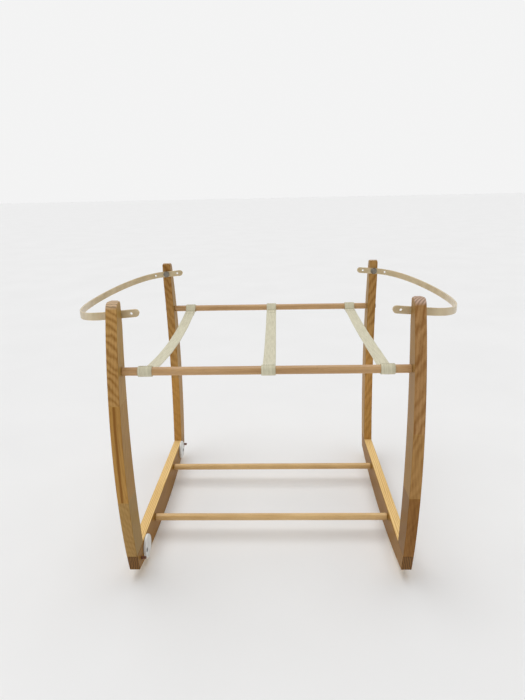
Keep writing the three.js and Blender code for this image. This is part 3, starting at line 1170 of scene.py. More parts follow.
@dataclass
class Rails:
    """The two rocker rails."""

    frame: Frame
    top: float = 0.060
    half_length: float = 0.277
    end_slope: float = 0.010
    rocker_radius: float = 1.544
    edge: float = 0.0018
    stations: int = 72
    stopper_hole: float = 0.0025
    stopper_depth: float = 0.0135
    peg_depth: float = 0.0095
    screw_seat: float = 0.0288
    pin_floor: float = 0.0437
    # The broad faces' colours are painted shade: far darker than the top and underside of the same pine.
    finish: PineFinish = PineFinish((srgb(150, 105, 32), srgb(120, 81, 20)), (srgb(243, 208, 143), srgb(205, 158, 86)),
                                    srgb(129, 90, 45), 1, 1.0, 0.0036, 0.6, 0.8)

    def under(self, y: float) -> float:
        """Height of the rocker's underside."""
        return self.rocker_radius - math.sqrt(self.rocker_radius ** 2 - y * y)

    def rings(self, side: Side) -> list[Ring]:
        """Cross-sections from the front end to the back end.

        Args:
            side: the rail's side.

        Returns:
            The cross-sections.
        """
        x = side.value * self.frame.mid_x
        rings: list[Ring] = []
        shrink = self.edge * 0.6
        steps = [(-1.0, shrink), (-1.0 + shrink / self.half_length, 0.0)]
        steps += [(-1 + 2 * i / self.stations, 0.0) for i in range(1, self.stations)]
        steps += [(1.0 - shrink / self.half_length, 0.0), (1.0, shrink)]
        for part, inset in steps:
            low_y = part * (self.half_length - self.end_slope)
            low = Vector((x, low_y, self.under(low_y) + inset))
            high = Vector((x, part * self.half_length, self.top - inset))
            rings.append(Maker.rounded(low, high, ACROSS, self.frame.board / 2 - inset, self.edge))
        return rings

    def drills(self, side: Side) -> list[bpy.types.Object]:
        """The tools that open a rail's holes.

        Args:
            side: the rail's side.

        Returns:
            The tools.
        """
        face = side.value * self.frame.inner_x
        tools: list[bpy.types.Object] = []
        for end in End:
            y = end.value * self.frame.lower_y
            tools.append(self.frame.bolt_drill(side, y, self.frame.lower_z))
            if side is Side.LEFT:
                for radius, (at_y, at_z), depth in ((self.stopper_hole, self.frame.stopper, self.stopper_depth),
                                                    (self.frame.bolt_hole, self.frame.peg, self.peg_depth)):
                    start = Vector((face + self.frame.past, end.value * at_y, at_z))
                    tools.append(rod("drill", radius, start, start - Vector((self.frame.past + depth, 0, 0))))
            screw_y, pin_y = end.value * self.frame.screw_y, end.value * self.frame.pin_y
            above = self.top + 0.01
            for radius, at_y, low, high in ((self.frame.snug_hole, screw_y, 0.0, self.screw_seat),
                                            (self.frame.screw_hole, screw_y, 0.02, above),
                                            (self.frame.snug_hole, pin_y, self.pin_floor, above)):
                tools.append(self.frame.upright_drill(side, radius, at_y, low, high))
        return tools

    def build(self) -> None:
        """Makes both rails."""
        for side in Side:
            piece = Maker.loft(f"rail_{side.word}", self.rings(side))
            Maker.cut(piece, self.drills(side))
            Maker.smooth(piece, 30, weighted=True)
            board = Board(shift=3.1 if side is Side.LEFT else 8.7)
            dress(piece, self.finish.build(f"rail_wood_{side.word}", board), Slot.RAIL, STAND,
                  f"rocker_rail_{side.word}")


@dataclass
class Legs:
    """The four bowed legs."""

    frame: Frame
    outer: tuple[Point2, ...] = ((0.2775, 0.060), (0.3015, 0.265), (0.266, 0.510))
    inner: tuple[Point2, ...] = ((0.229, 0.060), (0.2495, 0.290), (0.233, 0.500))
    bottom: float = 0.0603
    flat_y: float = 0.233
    flat_from: float = 0.500
    top: float = 0.545
    shoulder: float = 0.015
    crown: float = 0.0035
    edge: float = 0.0014
    flat_top: float = 0.526
    lean_in: float = 0.0015
    chamfer: float = 0.0009
    long_rows: int = 56
    shoulder_rows: int = 18
    insert_hole: float = 0.0048
    insert_depth: float = 0.015
    screw_top: float = 0.0879
    pin_top: float = 0.0763
    # The broad faces' colours hold painted shade: their pale tone is darker than the edges' of the same pine.
    finish: PineFinish = PineFinish((srgb(178, 140, 72), srgb(152, 110, 48)), (srgb(197, 152, 86), srgb(148, 101, 42)),
                                    srgb(212, 181, 142), 2, 0.85, side_contrast=0.85)
    boards: dict[tuple[Side, End], Board] = field(default_factory=lambda: {
        (Side.LEFT, End.FRONT): Board((0.187, 0.372), ((0.80, 0.86, 0.96), (0.90, 0.86, 0.74), (0.98, 1.0, 1.1)),
                                      -42, 0.0104, (0.25, 0.0, 0.75), (0.0, 1.0, 0.0), -0.2575, 1.7,
                                      pith=(-0.247, 0.0)),
        (Side.RIGHT, End.FRONT): Board((0.195, 0.318), ((0.55, 0.46, 0.38), (0.82, 0.81, 0.92), (0.88, 0.88, 1.16)),
                                       70, 0.0115, (0.3, 0.5, 0.7), (0.2, 0.0, 0.0), 0.2635, 5.2, 1.1),
        (Side.LEFT, End.BACK): Board((0.235,), ((1.0, 0.93, 0.80), (0.92, 0.92, 0.96)), -48, 0.014, (0.3, 0.6),
                                     (0.0, 0.0), 0.0, 11.4),
        (Side.RIGHT, End.BACK): Board((0.142, 0.33), ((1.02, 1.0, 0.92), (0.98, 0.92, 0.84), (0.92, 0.93, 0.98)),
                                      62, 0.013, (0.3, 0.4, 0.6), (0.0, 0.0, 0.0), 0.0, 17.9, 1.5),
    })

    def chains(self) -> list[tuple[Point2, Point2]]:
        """Matching points of the inner and outer long edges, from bottom to top.

        Returns:
            Pairs of an inner and an outer [y, z] point.
        """
        rows: list[tuple[Point2, Point2]] = []
        shoulder_z = self.top - self.shoulder
        for i in range(self.long_rows + 1):
            z = self.bottom + (shoulder_z - self.bottom) * i / self.long_rows
            inner_z = self.bottom + (self.flat_top - self.bottom) * i / self.long_rows
            inner_y = self.flat_y if inner_z > self.flat_from else arc_through(self.inner, inner_z)
            rows.append(((inner_y, inner_z), (arc_through(self.outer, z), z)))
        start = rows[-1][1][0]
        for i in range(1, self.shoulder_rows + 1):
            part = i / self.shoulder_rows
            angle = part * math.pi / 2
            y = start - self.shoulder * (1 - math.cos(angle)) - self.lean_in * math.sin(angle)
            z = shoulder_z + self.shoulder * math.sin(angle)
            rows.append(((self.flat_y, self.flat_top + (self.top - self.flat_top) * part), (y, z)))
        return rows

    def rings(self, side: Side, end: End) -> list[Ring]:
        """Cross-sections of one leg, with a small chamfer at its top end.

        Args:
            side: the leg's side.
            end: the leg's end.

        Returns:
            The cross-sections, from bottom to top.
        """
        rows = self.chains()
        x = side.value * self.frame.mid_x
        half = self.frame.board / 2
        rings: list[Ring] = []
        for (inner_y, inner_z), (outer_y, outer_z) in rows:
            rise = max(0.0, (inner_z + outer_z) / 2 - self.top + self.crown) / self.crown
            width = half - self.crown * (1 - math.sqrt(1 - rise * rise))
            rings.append(Maker.rounded(Vector((x, end.value * inner_y, inner_z)),
                                       Vector((x, end.value * outer_y, outer_z)), ACROSS, width, self.edge))
        last = rings[-1]
        middle = sum(last, Vector()) / len(last)
        lowered = [p - Vector((0, 0, self.chamfer)) for p in last]
        inset = [p + (middle - p).normalized() * self.chamfer for p in last]
        return rings[:-1] + [lowered, inset]

    def drills(self, side: Side, end: End) -> list[bpy.types.Object]:
        """The tools that open a leg's holes.

        Args:
            side: the leg's side.
            end: the leg's end.

        Returns:
            The tools.
        """
        x = side.value * self.frame.mid_x
        near, far = end.value * (self.flat_y - self.frame.past), end.value * (self.flat_y + self.insert_depth)
        below = self.bottom - 0.0103
        return [
            self.frame.bolt_drill(side, end.value * self.frame.upper_y, self.frame.upper_z),
            rod("drill", self.insert_hole, Vector((x, near, self.frame.hoop_z)), Vector((x, far, self.frame.hoop_z))),
            self.frame.upright_drill(side, self.frame.screw_hole, end.value * self.frame.screw_y, below,
                                     self.screw_top),
            self.frame.upright_drill(side, self.frame.snug_hole, end.value * self.frame.pin_y, below, self.pin_top),
        ]

    def build(self) -> None:
        """Makes the four legs."""
        for (side, end), board in self.boards.items():
            corner = f"{end.word}_{side.word}"
            piece = Maker.loft(f"leg_{corner}_wood", self.rings(side, end))
            Maker.cut(piece, self.drills(side, end))
            Maker.smooth(piece, 30, weighted=True)
            dress(piece, self.finish.build(f"leg_wood_{corner}", board), Slot.LEG, STAND, f"leg_{corner}")


@dataclass
class Dowels:
    """The four cross dowels."""

    frame: Frame
    radius: float = 0.0075
    chamfer: float = 0.0008
    hole_depth: float = 0.0303
    stations: int = 24
    uneven: float = 0.00004
    warm: DowelFinish = DowelFinish(srgb(204, 164, 113), srgb(172, 130, 80),
                                    KnotSpot((0.0885, -0.2655, 0.4285), 0.0014))
    warm_plain: DowelFinish = DowelFinish(srgb(204, 164, 113), srgb(172, 130, 80))
    pale: DowelFinish = DowelFinish(srgb(231, 194, 134), srgb(200, 158, 96))

    def profile(self) -> list[Point2]:
        """A dowel's outline, with eased ends and the faintest unevenness between them.

        Returns:
            Points of radius and place along the dowel.
        """
        half = self.frame.inner_x - self.frame.gap
        hole, eased = self.frame.bolt_hole, self.radius - self.chamfer
        points: list[Point2] = [(hole, -half + self.hole_depth), (hole, -half), (eased, -half)]
        for i in range(self.stations + 1):
            along = -half + self.chamfer + 2 * (half - self.chamfer) * i / self.stations
            points.append((self.radius - self.uneven * (1 + math.sin(along * 41)), along))
        return points + [(eased, half), (hole, half), (hole, half - self.hole_depth)]

    def build(self) -> None:
        """Makes the four dowels."""
        for end in End:
            upper = self.warm if end is End.FRONT else self.warm_plain
            for level, y, z, finish, slot in (
                ("upper", self.frame.upper_y, self.frame.upper_z, upper, Slot.DOWEL_WARM),
                ("lower", self.frame.lower_y, self.frame.lower_z, self.pale, Slot.DOWEL_PALE),
            ):
                name = f"{level}_dowel_{end.word}"
                piece = Maker.turned(f"{name}_rod", self.profile(), ACROSS,
                                     Vector((0, end.value * y, z)), 48)
                Maker.smooth(piece, 35)
                shift = 4.0 * z + end.value
                dress(piece, finish.build(f"{name}_wood", shift), slot, STAND, name)


@dataclass
class Strap:
    """One webbing strap: where it hangs, how far it sags and how its ends have slid.

    Attributes:
        name: its CAD node.
        sag: how far its middle hangs below its ends.
        front_x: its middle on the front dowel.
        back_x: its middle on the back dowel.
    """

    name: str
    sag: float
    front_x: float
    back_x: float


@dataclass
class Straps:
    """The three webbing straps, each one ribbon sewn back on itself round both upper dowels."""

    frame: Frame
    width: float = 0.025
    thick: float = 0.0017
    dowel: float = 0.0078
    tab: float = 0.026
    seam_inboard: float = 0.014
    seam_below: float = 0.0037
    loop_rows: tuple[float, ...] = (80.0, 118.0)
    proud: float = 0.0001
    span_steps: int = 44
    turns: int = 44
    tab_steps: int = 9
    columns: int = 10
    soft_edge: float = 0.0006
    cup: float = 0.0011
    ripple: float = 0.00025
    straps: tuple[Strap, ...] = (
        Strap("strap_left", 0.0175, -0.2094, -0.2073),
        Strap("strap_middle", 0.0180, 0.0048, 0.0030),
        Strap("strap_right", 0.0053, 0.2095, 0.2047),
    )
    webbing: WebbingFinish = WebbingFinish()
    thread: ThreadFinish = ThreadFinish()

    def touch(self, below: float, above: bool) -> float:
        """Angle at which a line from the seam touches the loop's middle layer.

        Args:
            below: how far the line's start lies below the dowel's axis.
            above: whether it touches the upper side.

        Returns:
            The angle from the outboard direction, in radians, counted up from it.
        """
        reach = self.dowel + self.thick / 2
        toward = math.atan2(-below, -self.seam_inboard) % math.tau
        half = math.acos(reach / math.hypot(below, self.seam_inboard))
        return toward - half if above else toward + half - math.tau

    def span(self, strap: Strap, y: float) -> float:
        """Height of the strap's top face between its seams."""
        seam_y = self.frame.upper_y - self.seam_inboard
        return self.frame.upper_z - self.seam_below - strap.sag * (1 - (y / seam_y) ** 2)

    def on_loop(self, angle: float, lift: float = 0.0) -> Point2:
        """A point on the loop's middle layer, or a little above it, at an angle."""
        reach = self.dowel + self.thick / 2 + lift
        return self.frame.upper_y + reach * math.cos(angle), self.frame.upper_z + reach * math.sin(angle)

    def centre_line(self, strap: Strap) -> list[Point2]:
        """The ribbon's middle layer in side view, from the front tab's end to the back tab's end.

        Args:
            strap: the strap.

        Returns:
            The line's [y, z] points.
        """
        seam_y = self.frame.upper_y - self.seam_inboard
        layer = self.thick + 0.0001
        middle = self.thick / 2
        half: list[Point2] = []
        for i in range(1, self.span_steps + 1):
            y = seam_y * i / self.span_steps
            half.append((y, self.span(strap, y) - middle))
        start = self.touch(self.seam_below + middle, above=True)
        end = self.touch(self.seam_below + middle + layer, above=False)
        first, last = self.on_loop(start), self.on_loop(end)
        lift = half[-1]
        half += [(lift[0] + (first[0] - lift[0]) * part, lift[1] + (first[1] - lift[1]) * part)
                 for part in (0.12, 0.35, 0.7)]
        half += [self.on_loop(start + (end - start) * i / self.turns) for i in range(self.turns + 1)]
        below = (seam_y, self.span(strap, seam_y) - middle - layer)
        half += [(last[0] + (below[0] - last[0]) * part, last[1] + (below[1] - last[1]) * part)
                 for part in (0.4, 0.75)]
        for i in range(self.tab_steps + 1):
            y = seam_y - self.tab * i / self.tab_steps
            half.append((y, self.span(strap, y) - middle - layer))
        front = [(-y, z) for y, z in reversed(half)]
        return front + [(0.0, self.span(strap, 0.0) - middle)] + half

    def section(self, width: float) -> list[Point2]:
        """The webbing's flat section with soft edges.

        Args:
            width: the ribbon's width.

        Returns:
            Places across and above its middle.
        """
        reach = width / 2 - self.soft_edge
        flat = [-reach + 2 * reach * k / self.columns for k in range(self.columns + 1)]
        turn, rise = width / 2 - self.soft_edge * 0.3, self.thick * 0.3
        upper = [(across, self.thick / 2) for across in flat] + [(turn, rise), (width / 2, 0.0), (turn, -rise)]
        return upper + [(-across, -height) for across, height in upper]

    def ribbon(self, strap: Strap) -> bpy.types.Object:
        """Sweeps the webbing's section along its centre line, with a UV map in metres.

        Args:
            strap: the strap.

        Returns:
            The ribbon.
        """
        line = self.centre_line(strap)
        rings: list[Ring] = []
        lengths = [0.0]
        for (y0, z0), (y1, z1) in zip(line, line[1:]):
            lengths.append(lengths[-1] + math.hypot(y1 - y0, z1 - z0))
        for i, (y, z) in enumerate(line):
            before, after = line[max(0, i - 1)], line[min(len(line) - 1, i + 1)]
            along = Vector((0, after[0] - before[0], after[1] - before[1])).normalized()
            up = ACROSS.cross(along)
            share = min(1.0, max(0.0, (y + self.frame.upper_y) / (2 * self.frame.upper_y)))
            easing = share * share * (3 - 2 * share)
            centre = strap.front_x + (strap.back_x - strap.front_x) * easing
            near_dowel = max(0.0, (abs(y) / self.frame.upper_y - 0.93) / 0.07)
            width = self.width * (0.965 + 0.03 * min(1.0, near_dowel))
            slack = 1.0 - (abs(y) / self.frame.upper_y) ** 2
            ring: Ring = []
            for across, height in self.section(width):
                cup = self.cup * slack * (2 * across / width) ** 2
                ripple = self.ripple * slack * math.sin(lengths[i] * 61 + across * 190)
                ring.append(Vector((centre + across, y, z)) + up * (height + cup + ripple))
            rings.append(ring)
        piece = Maker.loft(f"{strap.name}_webbing", rings)
        self.unwrap(piece, rings, lengths)
        return piece

    def unwrap(self, piece: bpy.types.Object, rings: list[Ring], lengths: list[float]) -> None:
        """Writes each corner's distance across and along the strap as its UV, in metres.

        Args:
            piece: the ribbon.
            rings: its cross-sections.
            lengths: each one's place along it.
        """
        table: dict[tuple[float, float, float], Point2] = {}
        for ring, along in zip(rings, lengths):
            middle = (min(p.x for p in ring) + max(p.x for p in ring)) / 2
            for p in ring:
                table[tuple(round(c, 6) for c in p)] = (p.x - middle + self.width / 2, along)
        layer = piece.data.uv_layers.new(name="strap")
        for loop in piece.data.loops:
            co = piece.data.vertices[loop.vertex_index].co
            layer.data[loop.index].uv = table[tuple(round(c, 6) for c in co)]

    def seam_paths(self, strap: Strap) -> list[list[Vector]]:
        """The stitch rows of one strap: two across each loop, two at its seam and a box over its tab.

        Args:
            strap: the strap.

        Returns:
            Each row's points.
        """
        near = self.frame.upper_y - self.seam_inboard - 0.0012
        far = near - self.tab * 0.82
        side = self.width / 2 - 0.0032
        wide = side + 0.0018
        rows = [[(-wide, y), (wide, y)] for y in (near, near - 0.003)]
        rows.append([(-side, near - 0.0055), (-side, far), (side, far), (side, near - 0.0055)])
        paths: list[list[Vector]] = []
        for end, x in ((End.FRONT, strap.front_x), (End.BACK, strap.back_x)):
            for row in rows:
                flat = [(a0 + (a1 - a0) * i / 6, y0 + (y1 - y0) * i / 6)
                        for (a0, y0), (a1, y1) in zip(row, row[1:]) for i in range(6)] + [row[-1]]
                paths.append([Vector((x + across, end.value * y, self.span(strap, y) + self.proud))
                              for across, y in flat])
            for degrees in self.loop_rows:
                y, z = self.on_loop(math.radians(degrees), self.thick / 2 + self.proud)
                paths.append([Vector((x + side * (i / 4 - 1), end.value * y, z)) for i in range(9)])
        return paths

    def stitches(self, material: bpy.types.Material) -> bpy.types.Object:
        """Sews every seam with short stitches, as one piece.

        Args:
            material: the thread.

        Returns:
            The stitches.
        """
        points: list[Vector] = []
        edges: list[tuple[int, int]] = []
        for strap in self.straps:
            for path in self.seam_paths(strap):
                base = len(points)
                points += path
                edges += [(base + i, base + i + 1) for i in range(len(path) - 1)]
        data = bpy.data.meshes.new("seams")
        data.from_pydata([tuple(p) for p in points], edges, [])
        carrier = bpy.data.objects.new("seams", data)
        bpy.context.scene.collection.objects.link(carrier)
        sizes = {"Pitch": 0.0027, "Thread Radius": 0.00042, "Stitch Length": 0.0021, "Wander": 0.09}
        group = GeometryTree("sewn_stitches", sizes)
        entry = group.entry.outputs
        path = group.node("GeometryNodeMeshToCurve", {"Mesh": entry["Geometry"]})
        spots = group.node("GeometryNodeCurveToPoints", {"Curve": path.outputs[0], "Length": entry["Pitch"]},
                           mode="LENGTH")
        bead = group.node("GeometryNodeMeshUVSphere", {"Segments": 8, "Rings": 6, "Radius": 1.0})
        half = group.node("ShaderNodeMath", {0: entry["Stitch Length"], 1: 0.5}, operation="MULTIPLY")
        size = group.node("ShaderNodeCombineXYZ", {
            "X": entry["Thread Radius"], "Y": entry["Thread Radius"], "Z": half.outputs[0]})
        stray = group.node("FunctionNodeRandomValue", {"Seed": SEED}, data_type="FLOAT_VECTOR")
        low = group.node("ShaderNodeMath", {0: entry["Wander"], 1: -1.0}, operation="MULTIPLY")
        for index, source in ((0, low.outputs[0]), (1, entry["Wander"])):
            group.tree.links.new(source, stray.inputs[index])
        tilt = group.node("FunctionNodeRotateRotation", {
            "Rotation": spots.outputs["Rotation"], "Rotate By": stray.outputs[0]})
        copies = group.node("GeometryNodeInstanceOnPoints", {
            "Points": spots.outputs["Points"], "Instance": bead.outputs["Mesh"], "Rotation": tilt.outputs[0],
            "Scale": size.outputs[0]})
        group.close(copies.outputs[0], material)
        return group.run("strap_stitches", carrier)

    def build(self) -> None:
        """Makes the straps and their stitches."""
        cloth = self.webbing.build()
        for strap in self.straps:
            piece = self.ribbon(strap)
            Maker.smooth(piece, 50)
            dress(piece, cloth, Slot.WEBBING, STAND, strap.name)
        thread = self.thread.build()
        sewn = self.stitches(thread)
        Maker.smooth(sewn, 80)
        dress(sewn, thread, Slot.WEBBING, STAND)


@dataclass
class Hoops:
    """The two strip hoops and the bolts they swing on."""

    frame: Frame
    bolt_x: float = 0.260
    y: float = 0.2309
    reach: float = 0.117
    straight: float = 0.009
    tail: float = 0.041
    height: float = 0.014
    thick: float = 0.0035
    pitch: float = 0.027
    slope: float = math.tan(math.radians(4.5))
    droop: float = 1.05
    spare_hole: float = 0.0023
    corner: float = 0.0009
    bends: int = 120
    plastic: PlasticFinish = PlasticFinish("hoop_strip", srgb(210, 192, 155), srgb(190, 169, 128), 0.36, 0.25, 0.3)

    def drop(self, past: float) -> float:
        """How far the strip has come down at a distance past the bolt."""
        return self.slope * past + (self.droop * past * past if past > 0 else 0.0)

    def bend(self, past: float) -> float:
        """How far the strip has turned in at a distance past the bolt."""
        part = max(0.0, past - self.straight) / (self.reach - self.straight)
        return self.y * (1 - math.sqrt(max(0.0, 1 - part * part)))

    def stations(self) -> list[tuple[float, float, float]]:
        """The strip's stations from tail to tail.

        Returns:
            Distance past the bolt, y and half height of each.
        """
        half = self.height / 2
        tail: list[tuple[float, float, float]] = []
        for i in range(11):
            part = (1 - math.cos(math.pi / 2 * i / 10))
            tail.append((-self.tail + part * half, -self.y, max(0.0004, half * math.sqrt(1 - (1 - part) ** 2))))
        for i in range(1, 7):
            tail.append((-self.tail + half + (self.tail - half) * i / 7, -self.y, half))
        bow: list[tuple[float, float, float]] = []
        for i in range(self.bends + 1):
            angle = math.pi * i / self.bends - math.pi / 2
            past = self.straight + (self.reach - self.straight) * math.cos(angle)
            bow.append((past, self.y * math.sin(angle), half))
        return tail + bow + [(past, -y, h) for past, y, h in reversed(tail)]

    def strip(self, side: Side) -> bpy.types.Object:
        """Sweeps the strip's rounded section along the hoop.

        Args:
            side: the hoop's side.

        Returns:
            The strip, without its holes.
        """
        stations = self.stations()
        rings: list[Ring] = []
        for i, (past, y, half) in enumerate(stations):
            before, after = stations[max(0, i - 1)], stations[min(len(stations) - 1, i + 1)]
            along = Vector((side.value * (after[0] - before[0]), after[1] - before[1], 0)).normalized()
            out = Vector((along.y, -along.x, 0))
            middle = Vector((side.value * (self.bolt_x + past), y, self.frame.hoop_z - self.drop(past)))
            low = middle - Vector((0, 0, half))
            high = middle + Vector((0, 0, half))
            rings.append(Maker.rounded(low, high, out, self.thick / 2, self.corner, 3))
        return Maker.loft(f"{side.word}_hoop_strip", rings)

    def drills(self, side: Side) -> list[bpy.types.Object]:
        """The tools that open the strip's holes.

        Args:
            side: the hoop's side.

        Returns:
            The tools.
        """
        tools: list[bpy.types.Object] = []
        for end in End:
            for step in (-1, 0) if end is End.FRONT else (-1, 0, 1):
                past = step * self.pitch
                radius = self.spare_hole if step else self.frame.bolt_hole
                y = self.y - self.bend(past)
                start = Vector((side.value * (self.bolt_x + past), end.value * (y - 0.008),
                                self.frame.hoop_z - self.drop(past)))
                tools.append(rod("drill", radius, start, start + Vector((0, end.value * 0.016, 0)), 30))
        return tools

    def build(self) -> None:
        """Makes both hoops."""
        material = self.plastic.build()
        for side in Side:
            piece = self.strip(side)
            Maker.cut(piece, self.drills(side))
            Maker.smooth(piece, 35, weighted=True)
            dress(piece, material, Slot.HOOP, f"{side.word}_hoop", f"hoop_{side.word}")


@dataclass
class Fasteners:
    """The bolts in the hoops and in the ends of the dowels, and what stays from the CAD inside the wood."""

    frame: Frame
    hoops: Hoops
    shank: float = 0.003
    pitch: float = 0.001
    thread_depth: float = 0.00035
    steel: MetalFinish = MetalFinish("zinc_plate", srgb(140, 134, 124), srgb(108, 100, 88))
    brass: MetalFinish = MetalFinish("turned_brass", srgb(190, 150, 84), srgb(150, 112, 56), 0.38)
    pin_wood: DowelFinish = DowelFinish(srgb(226, 192, 142), srgb(196, 154, 104))

    def bolt(self, head: float, rise: float, socket: float, deep: float, length: float) -> bpy.types.Object:
        """A flat round head with a hexagonal socket on a plain shank that runs along +Z.

        Args:
            head: radius of the head.
            rise: height of the head above its seat.
            socket: radius of the hexagon's corners.
            deep: depth of the socket.
            length: length of the shank.

        Returns:
            The bolt.
        """
        ease = rise * 0.32
        shank = self.shank
        profile: list[Point2] = [
            (CORE, deep - rise), (socket, deep - rise), (socket, 0.0002 - rise), (socket * 1.12, -rise),
            (head - ease * 1.6, -rise), (head - ease * 0.45, -rise + ease * 0.4), (head, -rise + ease * 1.2),
            (head, -0.0003), (head - 0.0003, 0), (shank, 0),
        ]
        turns = int((length - 0.002) / self.pitch)
        for i in range(turns):
            base = 0.001 + i * self.pitch
            profile += [(shank, base), (shank - self.thread_depth, base + self.pitch / 2)]
        profile += [(shank, length - 0.001), (shank - 0.0007, length), (CORE, length)]
        return Maker.turned("bolt", profile, Vector((0, 0, 1)), Vector(), 36, hexes=(1, 2, 3))

    def hoop_bolts(self, material: bpy.types.Material) -> None:
        """Makes the four bolts that the hoops swing on.

        Args:
            material: the steel.
        """
        face = self.hoops.y - self.hoops.thick / 2 - self.frame.gap
        places = [(Vector((side.value * self.hoops.bolt_x, end.value * face, self.frame.hoop_z)),
                   Vector((0, end.value, 0))) for side in Side for end in End]
        bolt = self.bolt(head=0.0075, rise=0.003, socket=0.0023, deep=0.002, length=0.0175)
        piece = spread("hoop_bolts", bolt, places, material)
        Maker.smooth(piece, 30)
        nodes = [f"hoop_bolt_{end.word}_{side.word}" for side in Side for end in End]
        dress(piece, material, Slot.STEEL, STAND, *nodes)

    def end_bolts(self, material: bpy.types.Material) -> None:
        """Makes the eight bolts that draw the dowels tight.

        Args:
            material: the steel.
        """
        outside = self.frame.inner_x + self.frame.board + self.frame.gap
        for level, y, z in (("upper", self.frame.upper_y, self.frame.upper_z),
                            ("lower", self.frame.lower_y, self.frame.lower_z)):
            places = [(Vector((side.value * outside, end.value * y, z)), Vector((-side.value, 0, 0)))
                      for side in Side for end in End]
            bolt = self.bolt(head=0.0065, rise=0.0026, socket=0.002, deep=0.0016, length=0.0503)
            piece = spread(f"{level}_end_bolts", bolt, places, material)
            Maker.smooth(piece, 30)
            nodes = [f"{level}_bolt_{end.word}_{side.word}" for side in Side for end in End]
            dress(piece, material, Slot.STEEL, STAND, *nodes)

    def build(self) -> None:
        """Makes the bolts and paints the hidden CAD nodes."""
        steel = self.steel.build()
        self.hoop_bolts(steel)
        self.end_bolts(steel)
        brass = self.brass.build()
        pins = self.pin_wood.build("pin_wood", 2.0)
        for side in Side:
            for end in End:
                corner = f"{end.word}_{side.word}"
                for node, material in ((f"hoop_insert_{corner}", brass), (f"leg_screw_{corner}", steel),
                                       (f"leg_pin_{corner}", pins)):
                    part = frame["nodes"][node]
                    part.data.materials.clear()
                    part.data.materials.append(material)
                    LOG.info("%s keeps its CAD shape", node)


